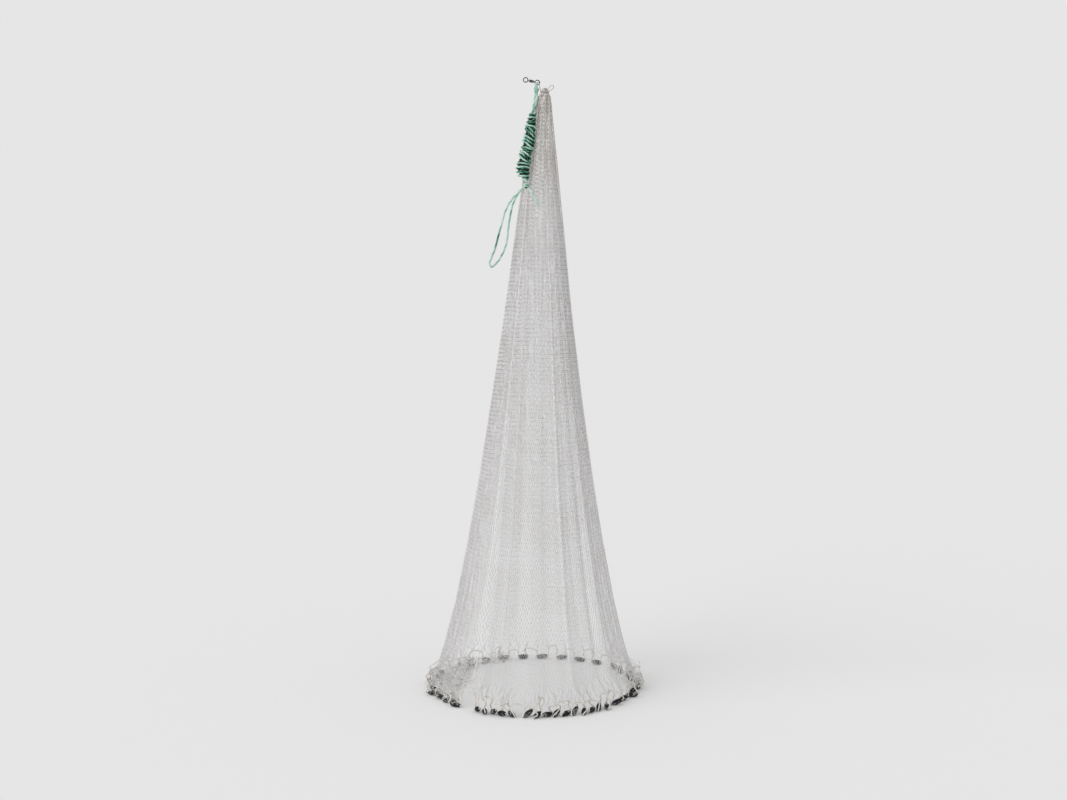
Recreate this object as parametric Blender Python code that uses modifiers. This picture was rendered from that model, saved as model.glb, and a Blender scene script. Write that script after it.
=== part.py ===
"""A cast net that hangs by its crown, its leaded hem gathered in a ring on the floor.

Metres, +Z up. The origin is the underside of the hanging loop's top, where a hook bears. The front is -Y,
and an azimuth turns from the front towards +X. Heights are above the floor that the sinkers lie on.
"""

import math

import bmesh
import bpy
from mathutils import Matrix, Vector

MM = 0.001
GAP = 0.0003
FLOOR_Z = -1.384

# Netting: the cone's sections from the hem up to the tuft above the neck.
WALL_THICKNESS = 0.0012
SECTIONS = (  # height, radius, centre_x
    (0.024, 0.2240, -0.0400),
    (0.061, 0.2190, -0.0400),
    (0.109, 0.2044, -0.0395),
    (0.204, 0.1806, -0.0380),
    (0.345, 0.1542, -0.0370),
    (0.486, 0.1310, -0.0360),
    (0.671, 0.1038, -0.0340),
    (0.855, 0.0785, -0.0315),
    (1.015, 0.0590, -0.0295),
    (1.128, 0.0444, -0.0275),
    (1.240, 0.0300, -0.0240),
    (1.307, 0.0205, -0.0210),
    (1.335, 0.0172, -0.0197),
    (1.350, 0.0150, -0.0184),
    (1.3600, 0.0132, -0.0174),
    (1.3655, 0.0106, -0.0168),
    (1.3685, 0.0080, -0.0166),
    (1.3715, 0.0080, -0.0166),
    (1.3745, 0.0086, -0.0164),
    (1.3780, 0.0050, -0.0162),
)
HEM_HEIGHT, TOP_HEIGHT = SECTIONS[0][0], SECTIONS[-1][0]
GORES = 6
GORE_COLUMNS = 12
SEAM_AZIMUTH = 21.0
SEAM_GAP = 0.0008

# Folds of the gathered netting. Depth is a share of the radius, outwards positive, and fades out at the top.
FOLDS = (  # azimuth, half_width, depth, top_height
    (-88, 9, 0.022, 0.60),
    (-64, 8, -0.030, 0.85),
    (-50, 6, 0.026, 0.50),
    (-33, 6, -0.036, 1.05),
    (-17, 6, -0.034, 0.95),
    (-4, 6, 0.022, 0.70),
    (7, 5, -0.030, 1.00),
    (20, 6, 0.028, 1.20),
    (31, 5, -0.034, 0.95),
    (48, 7, 0.030, 0.80),
    (66, 8, -0.032, 0.90),
    (92, 9, 0.020, 0.60),
    (113, 8, -0.034, 1.00),
    (136, 8, 0.026, 0.75),
    (158, 8, -0.030, 0.90),
    (183, 9, 0.028, 0.65),
    (206, 8, -0.034, 1.05),
    (231, 9, 0.024, 0.70),
    (252, 8, -0.028, 0.85),
)
# Places where the hem is lifted clear of the floor between two bunches of sinkers.
HEM_LIFTS = (  # azimuth, half_width, lift
    (-38, 6, 0.022),
    (46, 5, 0.020),
    (134, 7, 0.012),
    (226, 7, 0.014),
)

# Sinkers, strung in bunches round the hem. Turn is the bore's angle from the hem's line, seen from above.
SINKER_LENGTH, SINKER_RADIUS, SINKER_TIP_RADIUS, SINKER_BORE_RADIUS = 0.026, 0.0057, 0.0031, 0.0015
SINKER_SHOULDER_RADIUS, SINKER_SHOULDER_SHARE = 0.0049, 0.66
SINKER_SIDES = 6
RING_RADIUS = 0.2385
BUNCHES = (  # name, first_azimuth, last_azimuth, count, turn, turn_swing, pitch, pitch_swing, offset_swing
    ("front_left", -32.0, -12.0, 5, 42, 14, 10, 16, 0.003),
    ("front", -3.5, 42.0, 10, -42, 14, 12, 20, 0.003),
    ("right", 51.0, 127.0, 10, 30, 24, 6, 14, 0.006),
    ("rear", 140.0, 222.0, 8, -20, 28, 5, 10, 0.003),
    ("left", 231.0, 313.0, 11, -32, 22, 6, 14, 0.006),
)

# Lead line: out of one sinker, up over an arch that the netting holds, and down into the next.
LINE_RADIUS, LINE_ROUNDING = 0.0010, 0
LINE_STRAIGHT = 0.0036
LINE_CLEARANCE = 0.0011
LEG_CLEARANCE = 0.0026
HEM_MARGIN = 0.0140
ARCH_STEPS = 6
ARCH_HEIGHT, ARCH_HEIGHT_SWING = 0.046, 0.015
ARCH_FLARE = (  # azimuth, half_width, flare: how far the arches' tops stand out from the netting
    (88, 26, 0.030),
    (266, 26, 0.034),
)
FLARE_MEAN, FLARE_SWING = 0.6, 0.4

# Crown cord: whipping round the neck, hanging loop and becket.
CORD_RADIUS, CORD_STEP, CORD_ROUNDING = 0.0009, 0.0040, 1
NECK_RADIUS = 0.0080
WHIPPING_RADIUS = NECK_RADIUS + GAP + CORD_RADIUS
WHIPPING_HEIGHTS = (1.3692, 1.3708)
NECK_X = -0.0166
HANGING_LOOP = (
    (-10.0, -6.5, -14.0), (-8.7, -7.2, -11.0), (-7.9, -6.8, -7.6), (-6.4, -5.0, -4.2), (-3.6, -2.8, -1.2),
    (0.0, -0.4, 0.9), (3.0, 1.2, -0.8), (3.2, 2.8, -4.4), (-0.2, 4.8, -7.6), (-5.0, 6.8, -10.6),
    (-10.0, 6.5, -14.0),
)
BECKET = (
    (-24.4, -4.6, -14.0), (-26.3, -5.6, -9.6), (-27.5, -5.3, -4.4), (-28.7, -3.8, 1.4), (-30.4, 0.0, 7.5),
    (-28.7, 3.8, 1.4), (-27.5, 5.3, -4.4), (-26.3, 5.6, -9.6), (-24.4, 4.6, -14.0),
)

# Barrel swivel, laid out along its own axis from the tied eye's centre.
TIED_EYE_CENTRE = Vector((-0.0334, 0.0, 0.0070))
SWIVEL_DIRECTION = Vector((-26.5, 0.0, 5.8)).normalized()
EYE_RADIUS, EYE_WIRE_RADIUS = 0.0051, 0.00115
SHANK_RADIUS, HEAD_RADIUS, HEAD_LENGTH = 0.0011, 0.0019, 0.0014
BARREL_START, BARREL_LENGTH = 0.0076, 0.0118
BARREL_RADIUS, BARREL_END_RADIUS = 0.0031, 0.0025
BARREL_HOLE_RADIUS, BARREL_INNER_RADIUS = 0.0015, 0.0023
BARREL_END_WALL, BARREL_SHOULDER = 0.0016, 0.0014
SHANK_SIDES, BARREL_SIDES = 12, 16
EYE_SPACING = 2 * BARREL_START + BARREL_LENGTH

# Hand line.
ROPE_RADIUS, ROPE_ROUNDING = 0.0024, 2
ROPE_STEP = 0.0120
HITCH_STEP = 0.0030
LEAD_ROUTE = (
    (-32.8, -0.8, -8.0), (-33.6, -2.8, -3.4), (-35.3, -4.1, 0.0), (-36.4, -4.0, 2.9), (-35.0, -2.8, 5.2),
    (-34.2, 0.0, 6.1), (-35.0, 2.8, 5.2), (-36.4, 4.0, 2.9), (-37.0, 3.8, -1.0), (-37.0, 2.2, -6.0),
    (-37.0, 0.4, -11.0), (-37.6, -1.2, -16.6), (-38.8, -4.0, -23.0), (-40.0, -9.0, -33.0),
    (-42.0, -15.5, -45.0), (-44.2, -22.0, -56.5), (-45.0, -24.2, -61.7),
)
LEAD_BIGHT = 11  # the first stops, which go round the eye
HITCH = (  # x, y, z, half_width
    (-34.2, 0.0, -0.9, 2.6), (-34.4, 0.0, -2.6, 5.6), (-35.2, 0.0, -7.5, 6.4), (-36.0, -0.2, -12.5, 5.4),
    (-36.8, -0.4, -15.8, 3.0),
)
HANK = (  # x, y, z, half_width
    (-45.2, -25.0, -62.6, 6.6), (-45.4, -25.3, -65.6, 10.6), (-45.9, -25.6, -74.0, 11.4),
    (-47.6, -26.5, -93.0, 13.0), (-52.2, -29.5, -124.5, 15.6), (-57.4, -33.0, -151.5, 15.6),
    (-61.0, -34.6, -165.0, 15.4), (-65.4, -36.0, -176.0, 16.2), (-66.4, -37.6, -187.5, 16.8),
    (-64.6, -39.6, -199.0, 15.6), (-61.6, -41.6, -210.0, 11.0), (-59.2, -43.2, -219.6, 5.0),
)
HANK_TURNS, HANK_FLATNESS, HANK_SLANT = 15, 0.80, 0.30
KNOT = (  # x, y, z, half_width
    (-58.9, -43.6, -220.9, 3.8), (-58.7, -44.0, -222.8, 6.4), (-58.3, -44.6, -227.2, 7.4),
    (-58.0, -45.1, -231.2, 6.2), (-57.9, -45.4, -233.4, 3.4),
)
KNOT_TURNS, HITCH_TURNS, KNOT_FLATNESS, KNOT_SLANT = 3, 3, 0.90, 0.12
WOUND_SIDES, WOUND_STEPS = 10, 4  # round the body, and along each turn
RIDGE_DEPTH, RIDGE_SHARE = 0.0011, 0.12
HAND_LOOP_ROUTE = (
    (-63.6, -49.8, -230.2), (-71.4, -54.0, -237.6), (-80.5, -57.0, -247.4), (-89.6, -59.0, -257.4),
    (-99.4, -60.5, -272.6), (-107.4, -61.5, -291.6), (-112.2, -62.0, -309.8), (-118.0, -62.0, -330.0),
    (-123.4, -61.5, -350.5), (-129.2, -60.0, -371.0), (-136.4, -57.5, -388.4), (-140.6, -54.5, -400.2),
    (-136.8, -50.6, -408.6), (-128.0, -48.0, -402.6), (-117.6, -46.4, -389.6), (-107.9, -45.2, -370.6),
    (-101.9, -44.6, -350.5), (-99.4, -44.4, -330.0), (-97.4, -44.4, -312.0), (-94.2, -44.6, -294.0),
    (-90.4, -45.0, -275.4), (-84.6, -45.4, -259.4), (-76.0, -45.8, -244.0), (-65.6, -46.0, -233.2),
)
TAIL_ROUTE = (
    (-54.4, -49.2, -232.4), (-48.0, -52.0, -241.0), (-41.6, -52.6, -249.6), (-35.2, -52.6, -260.6),
    (-32.2, -52.6, -273.2),
)


def clear_scene():
    for obj in list(bpy.data.objects):
        bpy.data.objects.remove(obj, do_unlink=True)


def make_collection(name):
    collection = bpy.data.collections.new(name)
    bpy.context.scene.collection.children.link(collection)
    return collection


def make_material(name, colour, roughness, metallic=0.0):
    material = bpy.data.materials.new(name)
    material.use_nodes = True
    shader = material.node_tree.nodes["Principled BSDF"]
    shader.inputs["Base Color"].default_value = (*colour, 1.0)
    shader.inputs["Roughness"].default_value = roughness
    shader.inputs["Metallic"].default_value = metallic
    return material


def make_object(name, data, material, collection):
    obj = bpy.data.objects.new(name, data)
    if not data.materials:
        data.materials.append(material)
    collection.objects.link(obj)
    return obj


def adopt(obj, name, material, collection):
    """Renames a new primitive, gives it its material and moves it into the collection."""
    obj.name = name
    obj.data.materials.append(material)
    for holder in list(obj.users_collection):
        holder.objects.unlink(obj)
    collection.objects.link(obj)
    return obj


def uneven(index, salt=0.0):
    """A fixed, evenly spread number from -1 to 1 for this index."""
    return 2 * math.fmod(index * 0.618034 + salt, 1.0) - 1


def bell(azimuth, centre, half_width):
    """1 at the centre azimuth, falling smoothly to 0 over about two half widths. Degrees."""
    turn = (azimuth - centre + 180) % 360 - 180
    return math.exp(-((turn / half_width) ** 2))


def smooth_step(value):
    value = min(max(value, 0.0), 1.0)
    return value * value * (3 - 2 * value)


def hermite(start, end, start_slope, end_slope, t):
    """A cubic from start to end, for numbers or vectors."""
    return (
        (2 * t**3 - 3 * t**2 + 1) * start
        + (t**3 - 2 * t**2 + t) * start_slope
        + (3 * t**2 - 2 * t**3) * end
        + (t**3 - t**2) * end_slope
    )


def route_points(route, step):
    """Points about a step apart on a smooth curve through the route, which is in millimetres."""
    stops = [Vector(stop) * MM for stop in route]
    last = len(stops) - 1
    slopes = [stops[1] - stops[0]]
    slopes += [(stops[i + 1] - stops[i - 1]) / 2 for i in range(1, last)]
    slopes += [stops[last] - stops[last - 1]]
    points = [stops[0]]
    for i in range(last):
        ends = (stops[i], stops[i + 1], slopes[i], slopes[i + 1])
        count = max(1, round((stops[i + 1] - stops[i]).length / step))
        points += [hermite(*ends, (k + 1) / count) for k in range(count)]
    return points


def section_at(height):
    """(radius, centre_x) of the cone at this height, straight between the sections."""
    for low, high in zip(SECTIONS, SECTIONS[1:]):
        if height <= high[0]:
            break
    t = (height - low[0]) / (high[0] - low[0])
    return low[1] + (high[1] - low[1]) * t, low[2] + (high[2] - low[2]) * t


def fold_share(azimuth, height):
    """How far the folds push the wall out, as a share of its radius."""
    return sum(
        depth * bell(azimuth, centre, width) * smooth_step((top - height) / (0.75 * top))
        for centre, width, depth, top in FOLDS
    )


def wall_point(azimuth, height, clearance=0.0):
    """A point on the netting's outer face, or a clearance outside it."""
    radius, centre_x = section_at(height)
    reach = radius * (1 + fold_share(azimuth, height)) + clearance
    angle = math.radians(azimuth)
    return Vector((centre_x + reach * math.sin(angle), -reach * math.cos(angle), FLOOR_Z + height))


def clear_of_wall(point, clearance):
    """The point, pushed straight out from the net's axis to this clearance where the wall is nearer."""
    height = point.z - FLOOR_Z
    if height < HEM_HEIGHT - HEM_MARGIN:
        return point
    offset = Vector((point.x - section_at(max(height, HEM_HEIGHT))[1], point.y, 0))
    azimuth = math.degrees(math.atan2(offset.x, -offset.y))
    nearest = wall_point(azimuth, max(height, HEM_HEIGHT), clearance)
    nearest.z = point.z
    inside = offset.length < (nearest - point + offset).length
    return nearest if inside else point


def hem_height(azimuth):
    return HEM_HEIGHT + sum(lift * bell(azimuth, centre, width) for centre, width, lift in HEM_LIFTS)


def lifted(height, azimuth):
    """A section's height, raised with the hem under it."""
    hem = hem_height(azimuth)
    return hem + (height - HEM_HEIGHT) * (TOP_HEIGHT - hem) / (TOP_HEIGHT - HEM_HEIGHT)


def grid_mesh(name, rows):
    """An open surface through rows of points, all equally long, that faces out when the rows rise."""
    mesh = bmesh.new()
    grid = [[mesh.verts.new(point) for point in row] for row in rows]
    for low, high in zip(grid, grid[1:]):
        for i in range(len(low) - 1):
            mesh.faces.new((low[i], low[i + 1], high[i + 1], high[i]))
    data = bpy.data.meshes.new(name)
    mesh.to_mesh(data)
    mesh.free()
    return data


def make_gore(index, material, collection):
    """One gore of netting, from seam to seam and hem to tuft."""
    rows = []
    for section in SECTIONS:
        half_gap = math.degrees(SEAM_GAP / 2 / section[1])
        first = SEAM_AZIMUTH + index * 360 / GORES + half_gap
        span = 360 / GORES - 2 * half_gap
        azimuths = [first + span * i / GORE_COLUMNS for i in range(GORE_COLUMNS + 1)]
        rows.append([wall_point(azimuth, lifted(section[0], azimuth)) for azimuth in azimuths])
    gore = make_object(f"net_gore_{index + 1}", grid_mesh("net_gore", rows), material, collection)
    shell = gore.modifiers.new("Thickness", "SOLIDIFY")
    shell.thickness = WALL_THICKNESS
    shell.offset = -1
    gore.data.shade_smooth()


def make_tube(name, points, radius, material, collection, cyclic=False, rounding=ROPE_ROUNDING):
    curve = bpy.data.curves.new(name, "CURVE")
    curve.dimensions = "3D"
    curve.bevel_depth = radius
    curve.bevel_resolution = rounding
    curve.use_fill_caps = not cyclic
    spline = curve.splines.new("POLY")
    spline.points.add(len(points) - 1)
    for target, point in zip(spline.points, points):
        target.co = (*point, 1)
    spline.use_cyclic_u = cyclic
    return make_object(name, curve, material, collection)


def as_mesh(obj):
    """The object as a plain mesh object with its caps welded, in place of the one that made it."""
    bpy.context.view_layer.update()
    evaluated = obj.evaluated_get(bpy.context.evaluated_depsgraph_get())
    data = bpy.data.meshes.new_from_object(evaluated)
    mesh = bmesh.new()
    mesh.from_mesh(data)
    bmesh.ops.remove_doubles(mesh, verts=mesh.verts, dist=1e-6)
    bmesh.ops.recalc_face_normals(mesh, faces=mesh.faces)
    mesh.to_mesh(data)
    mesh.free()
    name, collection, matrix = obj.name, obj.users_collection[0], obj.matrix_world.copy()
    bpy.data.objects.remove(obj, do_unlink=True)
    made = bpy.data.objects.new(name, data)
    made.matrix_world = matrix
    collection.objects.link(made)
    return made


def unite(target, others, helpers):
    """Joins the other closed meshes to the target, which keeps its name, and hides them as helpers."""
    for other in others:
        for collection in other.users_collection:
            collection.objects.unlink(other)
        helpers.objects.link(other)
        other.hide_render = True
        other.display_type = "WIRE"
        union = target.modifiers.new(f"Join {other.name}", "BOOLEAN")
        union.operation = "UNION"
        union.object = other


def make_turned(name, profile, steps, material, collection):
    """A closed outline of (radius, z) points turned about Z. It runs down its outer side."""
    mesh = bmesh.new()
    corners = [mesh.verts.new((radius, 0, z)) for radius, z in profile]
    for i, corner in enumerate(corners):
        mesh.edges.new((corner, corners[(i + 1) % len(corners)]))
    data = bpy.data.meshes.new(name)
    mesh.to_mesh(data)
    mesh.free()
    obj = make_object(name, data, material, collection)
    screw = obj.modifiers.new("Turn", "SCREW")
    screw.steps = screw.render_steps = steps
    screw.use_merge_vertices = True
    screw.merge_threshold = 1e-6
    return obj


def make_sinker_mesh(material, helpers):
    """A bored oval turned about Z, shared by all the sinkers."""
    half = SINKER_LENGTH / 2
    shoulder = SINKER_SHOULDER_SHARE * half
    profile = (
        (SINKER_TIP_RADIUS, half), (SINKER_SHOULDER_RADIUS, shoulder), (SINKER_RADIUS, 0.0),
        (SINKER_SHOULDER_RADIUS, -shoulder), (SINKER_TIP_RADIUS, -half), (SINKER_BORE_RADIUS, -half),
        (SINKER_BORE_RADIUS, half),
    )
    template = make_turned("sinker_template", profile, SINKER_SIDES, material, helpers)
    mesh = as_mesh(template)
    data = mesh.data
    bpy.data.objects.remove(mesh, do_unlink=True)
    return data


def sinker_places():
    """(azimuth, centre, direction) of each sinker, in the order that the line runs through them."""
    places = []
    for _, first, last, count, turn, turn_swing, lean, lean_swing, offset_swing in BUNCHES:
        for k in range(count):
            i = len(places)
            azimuth = first + (last - first) * k / (count - 1)
            angle = math.radians(azimuth)
            outward = Vector((math.sin(angle), -math.cos(angle), 0))
            along = Vector((math.cos(angle), math.sin(angle), 0))
            yaw = math.radians(turn + turn_swing * uneven(i, 0.37))
            pitch = math.radians(lean + lean_swing * uneven(i, 0.71))
            level = along * math.cos(yaw) + outward * math.sin(yaw)
            direction = level * math.cos(pitch) + Vector((0, 0, math.sin(pitch)))
            lowest = math.hypot(SINKER_LENGTH / 2 * math.sin(pitch), SINKER_RADIUS * math.cos(pitch))
            radius = RING_RADIUS + offset_swing * uneven(i, 0.13)
            centre = outward * radius + Vector((SECTIONS[0][2], 0, FLOOR_Z + lowest))
            places.append((azimuth, centre, direction))
    return places


def line_points(places):
    """The lead line's closed route: straight through each bore, and an arch from each to the next."""
    points = []
    reach = SINKER_LENGTH / 2 + LINE_STRAIGHT
    for i, (azimuth, centre, direction) in enumerate(places):
        next_azimuth, next_centre, next_direction = places[(i + 1) % len(places)]
        leave, enter = centre + direction * reach, next_centre - next_direction * reach
        middle = azimuth + ((next_azimuth - azimuth) % 360) / 2
        height = ARCH_HEIGHT + ARCH_HEIGHT_SWING * uneven(i, 0.29)
        flare = sum(depth * bell(middle, at, width) for at, width, depth in ARCH_FLARE)
        flare *= FLARE_MEAN + FLARE_SWING * uneven(i, 0.53)
        top = wall_point(middle, height, LINE_RADIUS + LINE_CLEARANCE + flare)
        points += [centre - direction * reach, leave]
        rise = top - (leave + enter) / 2
        for k in range(1, ARCH_STEPS):
            angle = math.pi * k / ARCH_STEPS
            point = leave.lerp(enter, (1 - math.cos(angle)) / 2) + rise * math.sin(angle)
            clearance = LINE_CLEARANCE if 2 * k == ARCH_STEPS else LEG_CLEARANCE
            points.append(clear_of_wall(point, LINE_RADIUS + clearance))
    return points


def make_wound(name, sections, turns, flatness, slant, material, collection):
    """A closed body of wound rope along a bowed axis, ridged once a turn. Its sections are in millimetres."""
    stops = [Vector(section[:3]) * MM for section in sections]
    axis = (stops[-1] - stops[0]).normalized()
    side = (Vector((1, 0, 0)) - axis * axis.x).normalized()
    front = axis.cross(side)
    lengths = [(stop - stops[0]).dot(axis) for stop in stops]
    steps = turns * WOUND_STEPS
    rings = []
    for k in range(steps + 1):
        length = lengths[-1] * k / steps
        i = max(j for j in range(len(stops) - 1) if lengths[j] <= length + 1e-9)
        t = (length - lengths[i]) / (lengths[i + 1] - lengths[i])
        centre = stops[i].lerp(stops[i + 1], t)
        width = (sections[i][3] * (1 - t) + sections[i + 1][3] * t) * MM
        depth = min(RIDGE_DEPTH, RIDGE_SHARE * width)
        ring = []
        for j in range(WOUND_SIDES):
            angle = 2 * math.pi * j / WOUND_SIDES
            phase = 2 * math.pi * (turns * length / lengths[-1] + slant * math.cos(angle))
            reach = width - depth * (0.5 + 0.5 * math.cos(phase + angle))
            spread = side * math.cos(angle) + front * flatness * math.sin(angle)
            ring.append(centre + spread * reach)
        rings.append(ring)
    mesh = bmesh.new()
    grid = [[mesh.verts.new(point) for point in ring] for ring in rings]
    for low, high in zip(grid, grid[1:]):
        for j in range(WOUND_SIDES):
            after = (j + 1) % WOUND_SIDES
            mesh.faces.new((low[j], low[after], high[after], high[j]))
    mesh.faces.new(grid[0])
    mesh.faces.new(grid[-1])
    bmesh.ops.recalc_face_normals(mesh, faces=mesh.faces)
    data = bpy.data.meshes.new(name)
    mesh.to_mesh(data)
    mesh.free()
    data.shade_smooth()
    return make_object(name, data, material, collection)


def make_crown_cord(material, collection, helpers):
    """The whipping round the neck with the hanging loop and the becket, one knotted cord."""
    pieces = []
    for height in WHIPPING_HEIGHTS:
        bpy.ops.mesh.primitive_torus_add(
            major_radius=WHIPPING_RADIUS, minor_radius=CORD_RADIUS, major_segments=16, minor_segments=6,
            location=(NECK_X, 0, FLOOR_Z + height),
        )
        pieces.append(bpy.context.object)
    for name, route in (("hanging_loop", HANGING_LOOP), ("becket", BECKET)):
        points = route_points(route, CORD_STEP)
        bend = make_tube(name, points, CORD_RADIUS, material, collection, rounding=CORD_ROUNDING)
        pieces.append(as_mesh(bend))
    crown = adopt(pieces[0], "crown_cord", material, collection)
    unite(crown, pieces[1:], helpers)


def swivel_matrix(distance):
    """Local +Z along the swivel, its ring's plane upright, at a distance from the tied eye's centre."""
    z_axis = SWIVEL_DIRECTION
    y_axis = Vector((0, 1, 0))
    turn = Matrix((y_axis.cross(z_axis), y_axis, z_axis)).transposed().to_4x4()
    return Matrix.Translation(TIED_EYE_CENTRE + SWIVEL_DIRECTION * distance) @ turn


def make_eye(name, distance, facing, material, collection, helpers):
    """A wire ring with a headed shank that turns in the barrel. Facing is 1 where the barrel lies along +Z."""
    matrix = swivel_matrix(distance)
    bpy.ops.mesh.primitive_torus_add(
        major_radius=EYE_RADIUS, minor_radius=EYE_WIRE_RADIUS, major_segments=24, minor_segments=8,
        rotation=(math.pi / 2, 0, 0),
    )
    eye = adopt(bpy.context.object, name, material, collection)
    eye.data.transform(eye.matrix_basis)
    eye.data.shade_smooth()
    head_start = BARREL_START + BARREL_END_WALL + GAP
    head_end = head_start + HEAD_LENGTH
    profile = (
        (0.0, head_end), (HEAD_RADIUS, head_end), (HEAD_RADIUS, head_start), (SHANK_RADIUS, head_start),
        (SHANK_RADIUS, EYE_RADIUS), (0.0, EYE_RADIUS),
    )
    stem = as_mesh(make_turned(f"{name}_stem", profile, SHANK_SIDES, material, helpers))
    if facing < 0:
        stem.data.transform(Matrix.Rotation(math.pi, 4, "X"))
    stem.matrix_world = matrix
    eye.matrix_world = matrix
    unite(eye, [stem], helpers)


def make_barrel(material, collection):
    length, wall = BARREL_LENGTH, BARREL_END_WALL
    profile = (
        (BARREL_HOLE_RADIUS, length), (BARREL_END_RADIUS, length), (BARREL_RADIUS, length - BARREL_SHOULDER),
        (BARREL_RADIUS, BARREL_SHOULDER), (BARREL_END_RADIUS, 0.0), (BARREL_HOLE_RADIUS, 0.0),
        (BARREL_HOLE_RADIUS, wall), (BARREL_INNER_RADIUS, wall), (BARREL_INNER_RADIUS, length - wall),
        (BARREL_HOLE_RADIUS, length - wall),
    )
    barrel = make_turned("swivel_barrel", profile, BARREL_SIDES, material, collection)
    barrel.matrix_world = swivel_matrix(BARREL_START)


def make_hand_line(material, collection, helpers):
    """The hitch with its lead, the hank, the knot under it, the hand loop and the tail."""
    lead = as_mesh(make_tube("rope_lead", lead_points(), ROPE_RADIUS, material, collection))
    hitch = make_wound("hitch_turns", HITCH, HITCH_TURNS, KNOT_FLATNESS, KNOT_SLANT, material, collection)
    unite(lead, [hitch], helpers)
    make_wound("rope_hank", HANK, HANK_TURNS, HANK_FLATNESS, HANK_SLANT, material, collection)
    make_wound("rope_knot", KNOT, KNOT_TURNS, KNOT_FLATNESS, KNOT_SLANT, material, collection)
    make_tube("rope_hand_loop", route_points(HAND_LOOP_ROUTE, ROPE_STEP), ROPE_RADIUS, material, collection)
    make_tube("rope_tail", route_points(TAIL_ROUTE, ROPE_STEP), ROPE_RADIUS, material, collection)


def lead_points():
    """The lead's route, finer round the eye than below the hitch."""
    bight = route_points(LEAD_ROUTE[:LEAD_BIGHT], HITCH_STEP)
    return bight + route_points(LEAD_ROUTE[LEAD_BIGHT - 1:], ROPE_STEP)[1:]


def main():
    clear_scene()
    net = make_collection("cast_net")
    helpers = make_collection("helpers")
    netting = make_material("netting", (0.62, 0.62, 0.61), 0.5)
    cord = make_material("clear_cord", (0.60, 0.59, 0.56), 0.4)
    line = make_material("line", (0.55, 0.53, 0.48), 0.7)
    lead = make_material("lead", (0.09, 0.09, 0.10), 0.55, 0.6)
    steel = make_material("swivel_metal", (0.12, 0.12, 0.13), 0.35, 1.0)
    rope = make_material("green_rope", (0.05, 0.33, 0.22), 0.7)
    for index in range(GORES):
        make_gore(index, netting, net)
    make_crown_cord(cord, net, helpers)
    make_eye("swivel_tied_eye", 0.0, 1, steel, net, helpers)
    make_barrel(steel, net)
    make_eye("swivel_free_eye", EYE_SPACING, -1, steel, net, helpers)
    make_hand_line(rope, net, helpers)
    places = sinker_places()
    points = line_points(places)
    make_tube("lead_line", points, LINE_RADIUS, line, net, cyclic=True, rounding=LINE_ROUNDING)
    sinker_mesh = make_sinker_mesh(lead, helpers)
    for index, (_, centre, direction) in enumerate(places):
        sinker = make_object(f"sinker_{index + 1:02d}", sinker_mesh, lead, net)
        sinker.location = centre
        sinker.rotation_mode = "QUATERNION"
        sinker.rotation_quaternion = direction.to_track_quat("Z", "Y")


main()
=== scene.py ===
"""Looks of a cast net hung by its crown: knotted twine, sinkers, swivel and a wound hand line.

Metres, +Z up, in the model's frame. The front is -Y, an azimuth turns from the front towards +X, and
heights are above the floor that the sinkers lie on.
"""

import logging
import math
from dataclasses import dataclass
from enum import Enum
from typing import Callable

import bpy
import numpy as np
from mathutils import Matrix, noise


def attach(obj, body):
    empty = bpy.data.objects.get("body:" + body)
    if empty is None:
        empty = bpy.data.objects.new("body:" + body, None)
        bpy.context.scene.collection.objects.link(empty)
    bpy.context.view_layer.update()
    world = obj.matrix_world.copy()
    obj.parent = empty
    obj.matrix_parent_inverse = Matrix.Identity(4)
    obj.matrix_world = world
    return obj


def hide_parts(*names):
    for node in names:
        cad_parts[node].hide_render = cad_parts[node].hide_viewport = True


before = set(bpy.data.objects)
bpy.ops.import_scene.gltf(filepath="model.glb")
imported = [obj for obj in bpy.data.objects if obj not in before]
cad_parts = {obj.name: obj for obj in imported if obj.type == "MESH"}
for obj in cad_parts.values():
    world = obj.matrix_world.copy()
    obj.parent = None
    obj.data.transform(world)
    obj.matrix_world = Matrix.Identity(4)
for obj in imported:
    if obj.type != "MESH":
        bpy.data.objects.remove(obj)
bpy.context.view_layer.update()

LOG = logging.getLogger("cast_net")
MM = 0.001
FLOOR_Z = -1.384
NET_BODY, BARREL_BODY, FREE_EYE_BODY = "net", "barrel", "free_eye"

Vec = np.ndarray
Colour = tuple[float, float, float]
Place = tuple[float, Vec, Vec]
Mesh, Piece = bpy.types.Mesh, bpy.types.Object
TURN = 2 * math.pi


class Lay(Enum):
    """How the surface of a swept cord is built up."""

    ROUND = 0
    THREE_STRAND = 3


# ---- node trees


def operator(operation: str, swapped: bool = False) -> Callable:
    """A method of Value that adds one Math node."""

    def method(self: "Value", other: object = 0.0) -> "Value":
        """Adds the node."""
        first, second = (other, self) if swapped else (self, other)
        return self.tree.node("ShaderNodeMath", {0: first, 1: second}, operation=operation)

    return method


class Value:
    """A node's output socket. Operators on it add Math nodes to the same tree."""

    def __init__(self, tree: "Tree", socket: bpy.types.NodeSocket) -> None:
        """Keeps the tree that the socket belongs to."""
        self.tree, self.socket = tree, socket

    __add__, __radd__ = operator("ADD"), operator("ADD", swapped=True)
    __sub__, __rsub__ = operator("SUBTRACT"), operator("SUBTRACT", swapped=True)
    __mul__, sine = operator("MULTIPLY"), operator("SINE")
    at_least, at_most = operator("MAXIMUM"), operator("MINIMUM")

    def clamped(self) -> "Value":
        """The value kept between 0 and 1."""
        return self.at_least(0.0).at_most(1.0)

    def past(self, start: float, slope: float) -> "Value":
        """0 below the start, rising from there with the slope, and 1 at most."""
        return ((self - start) * slope).clamped()


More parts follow.
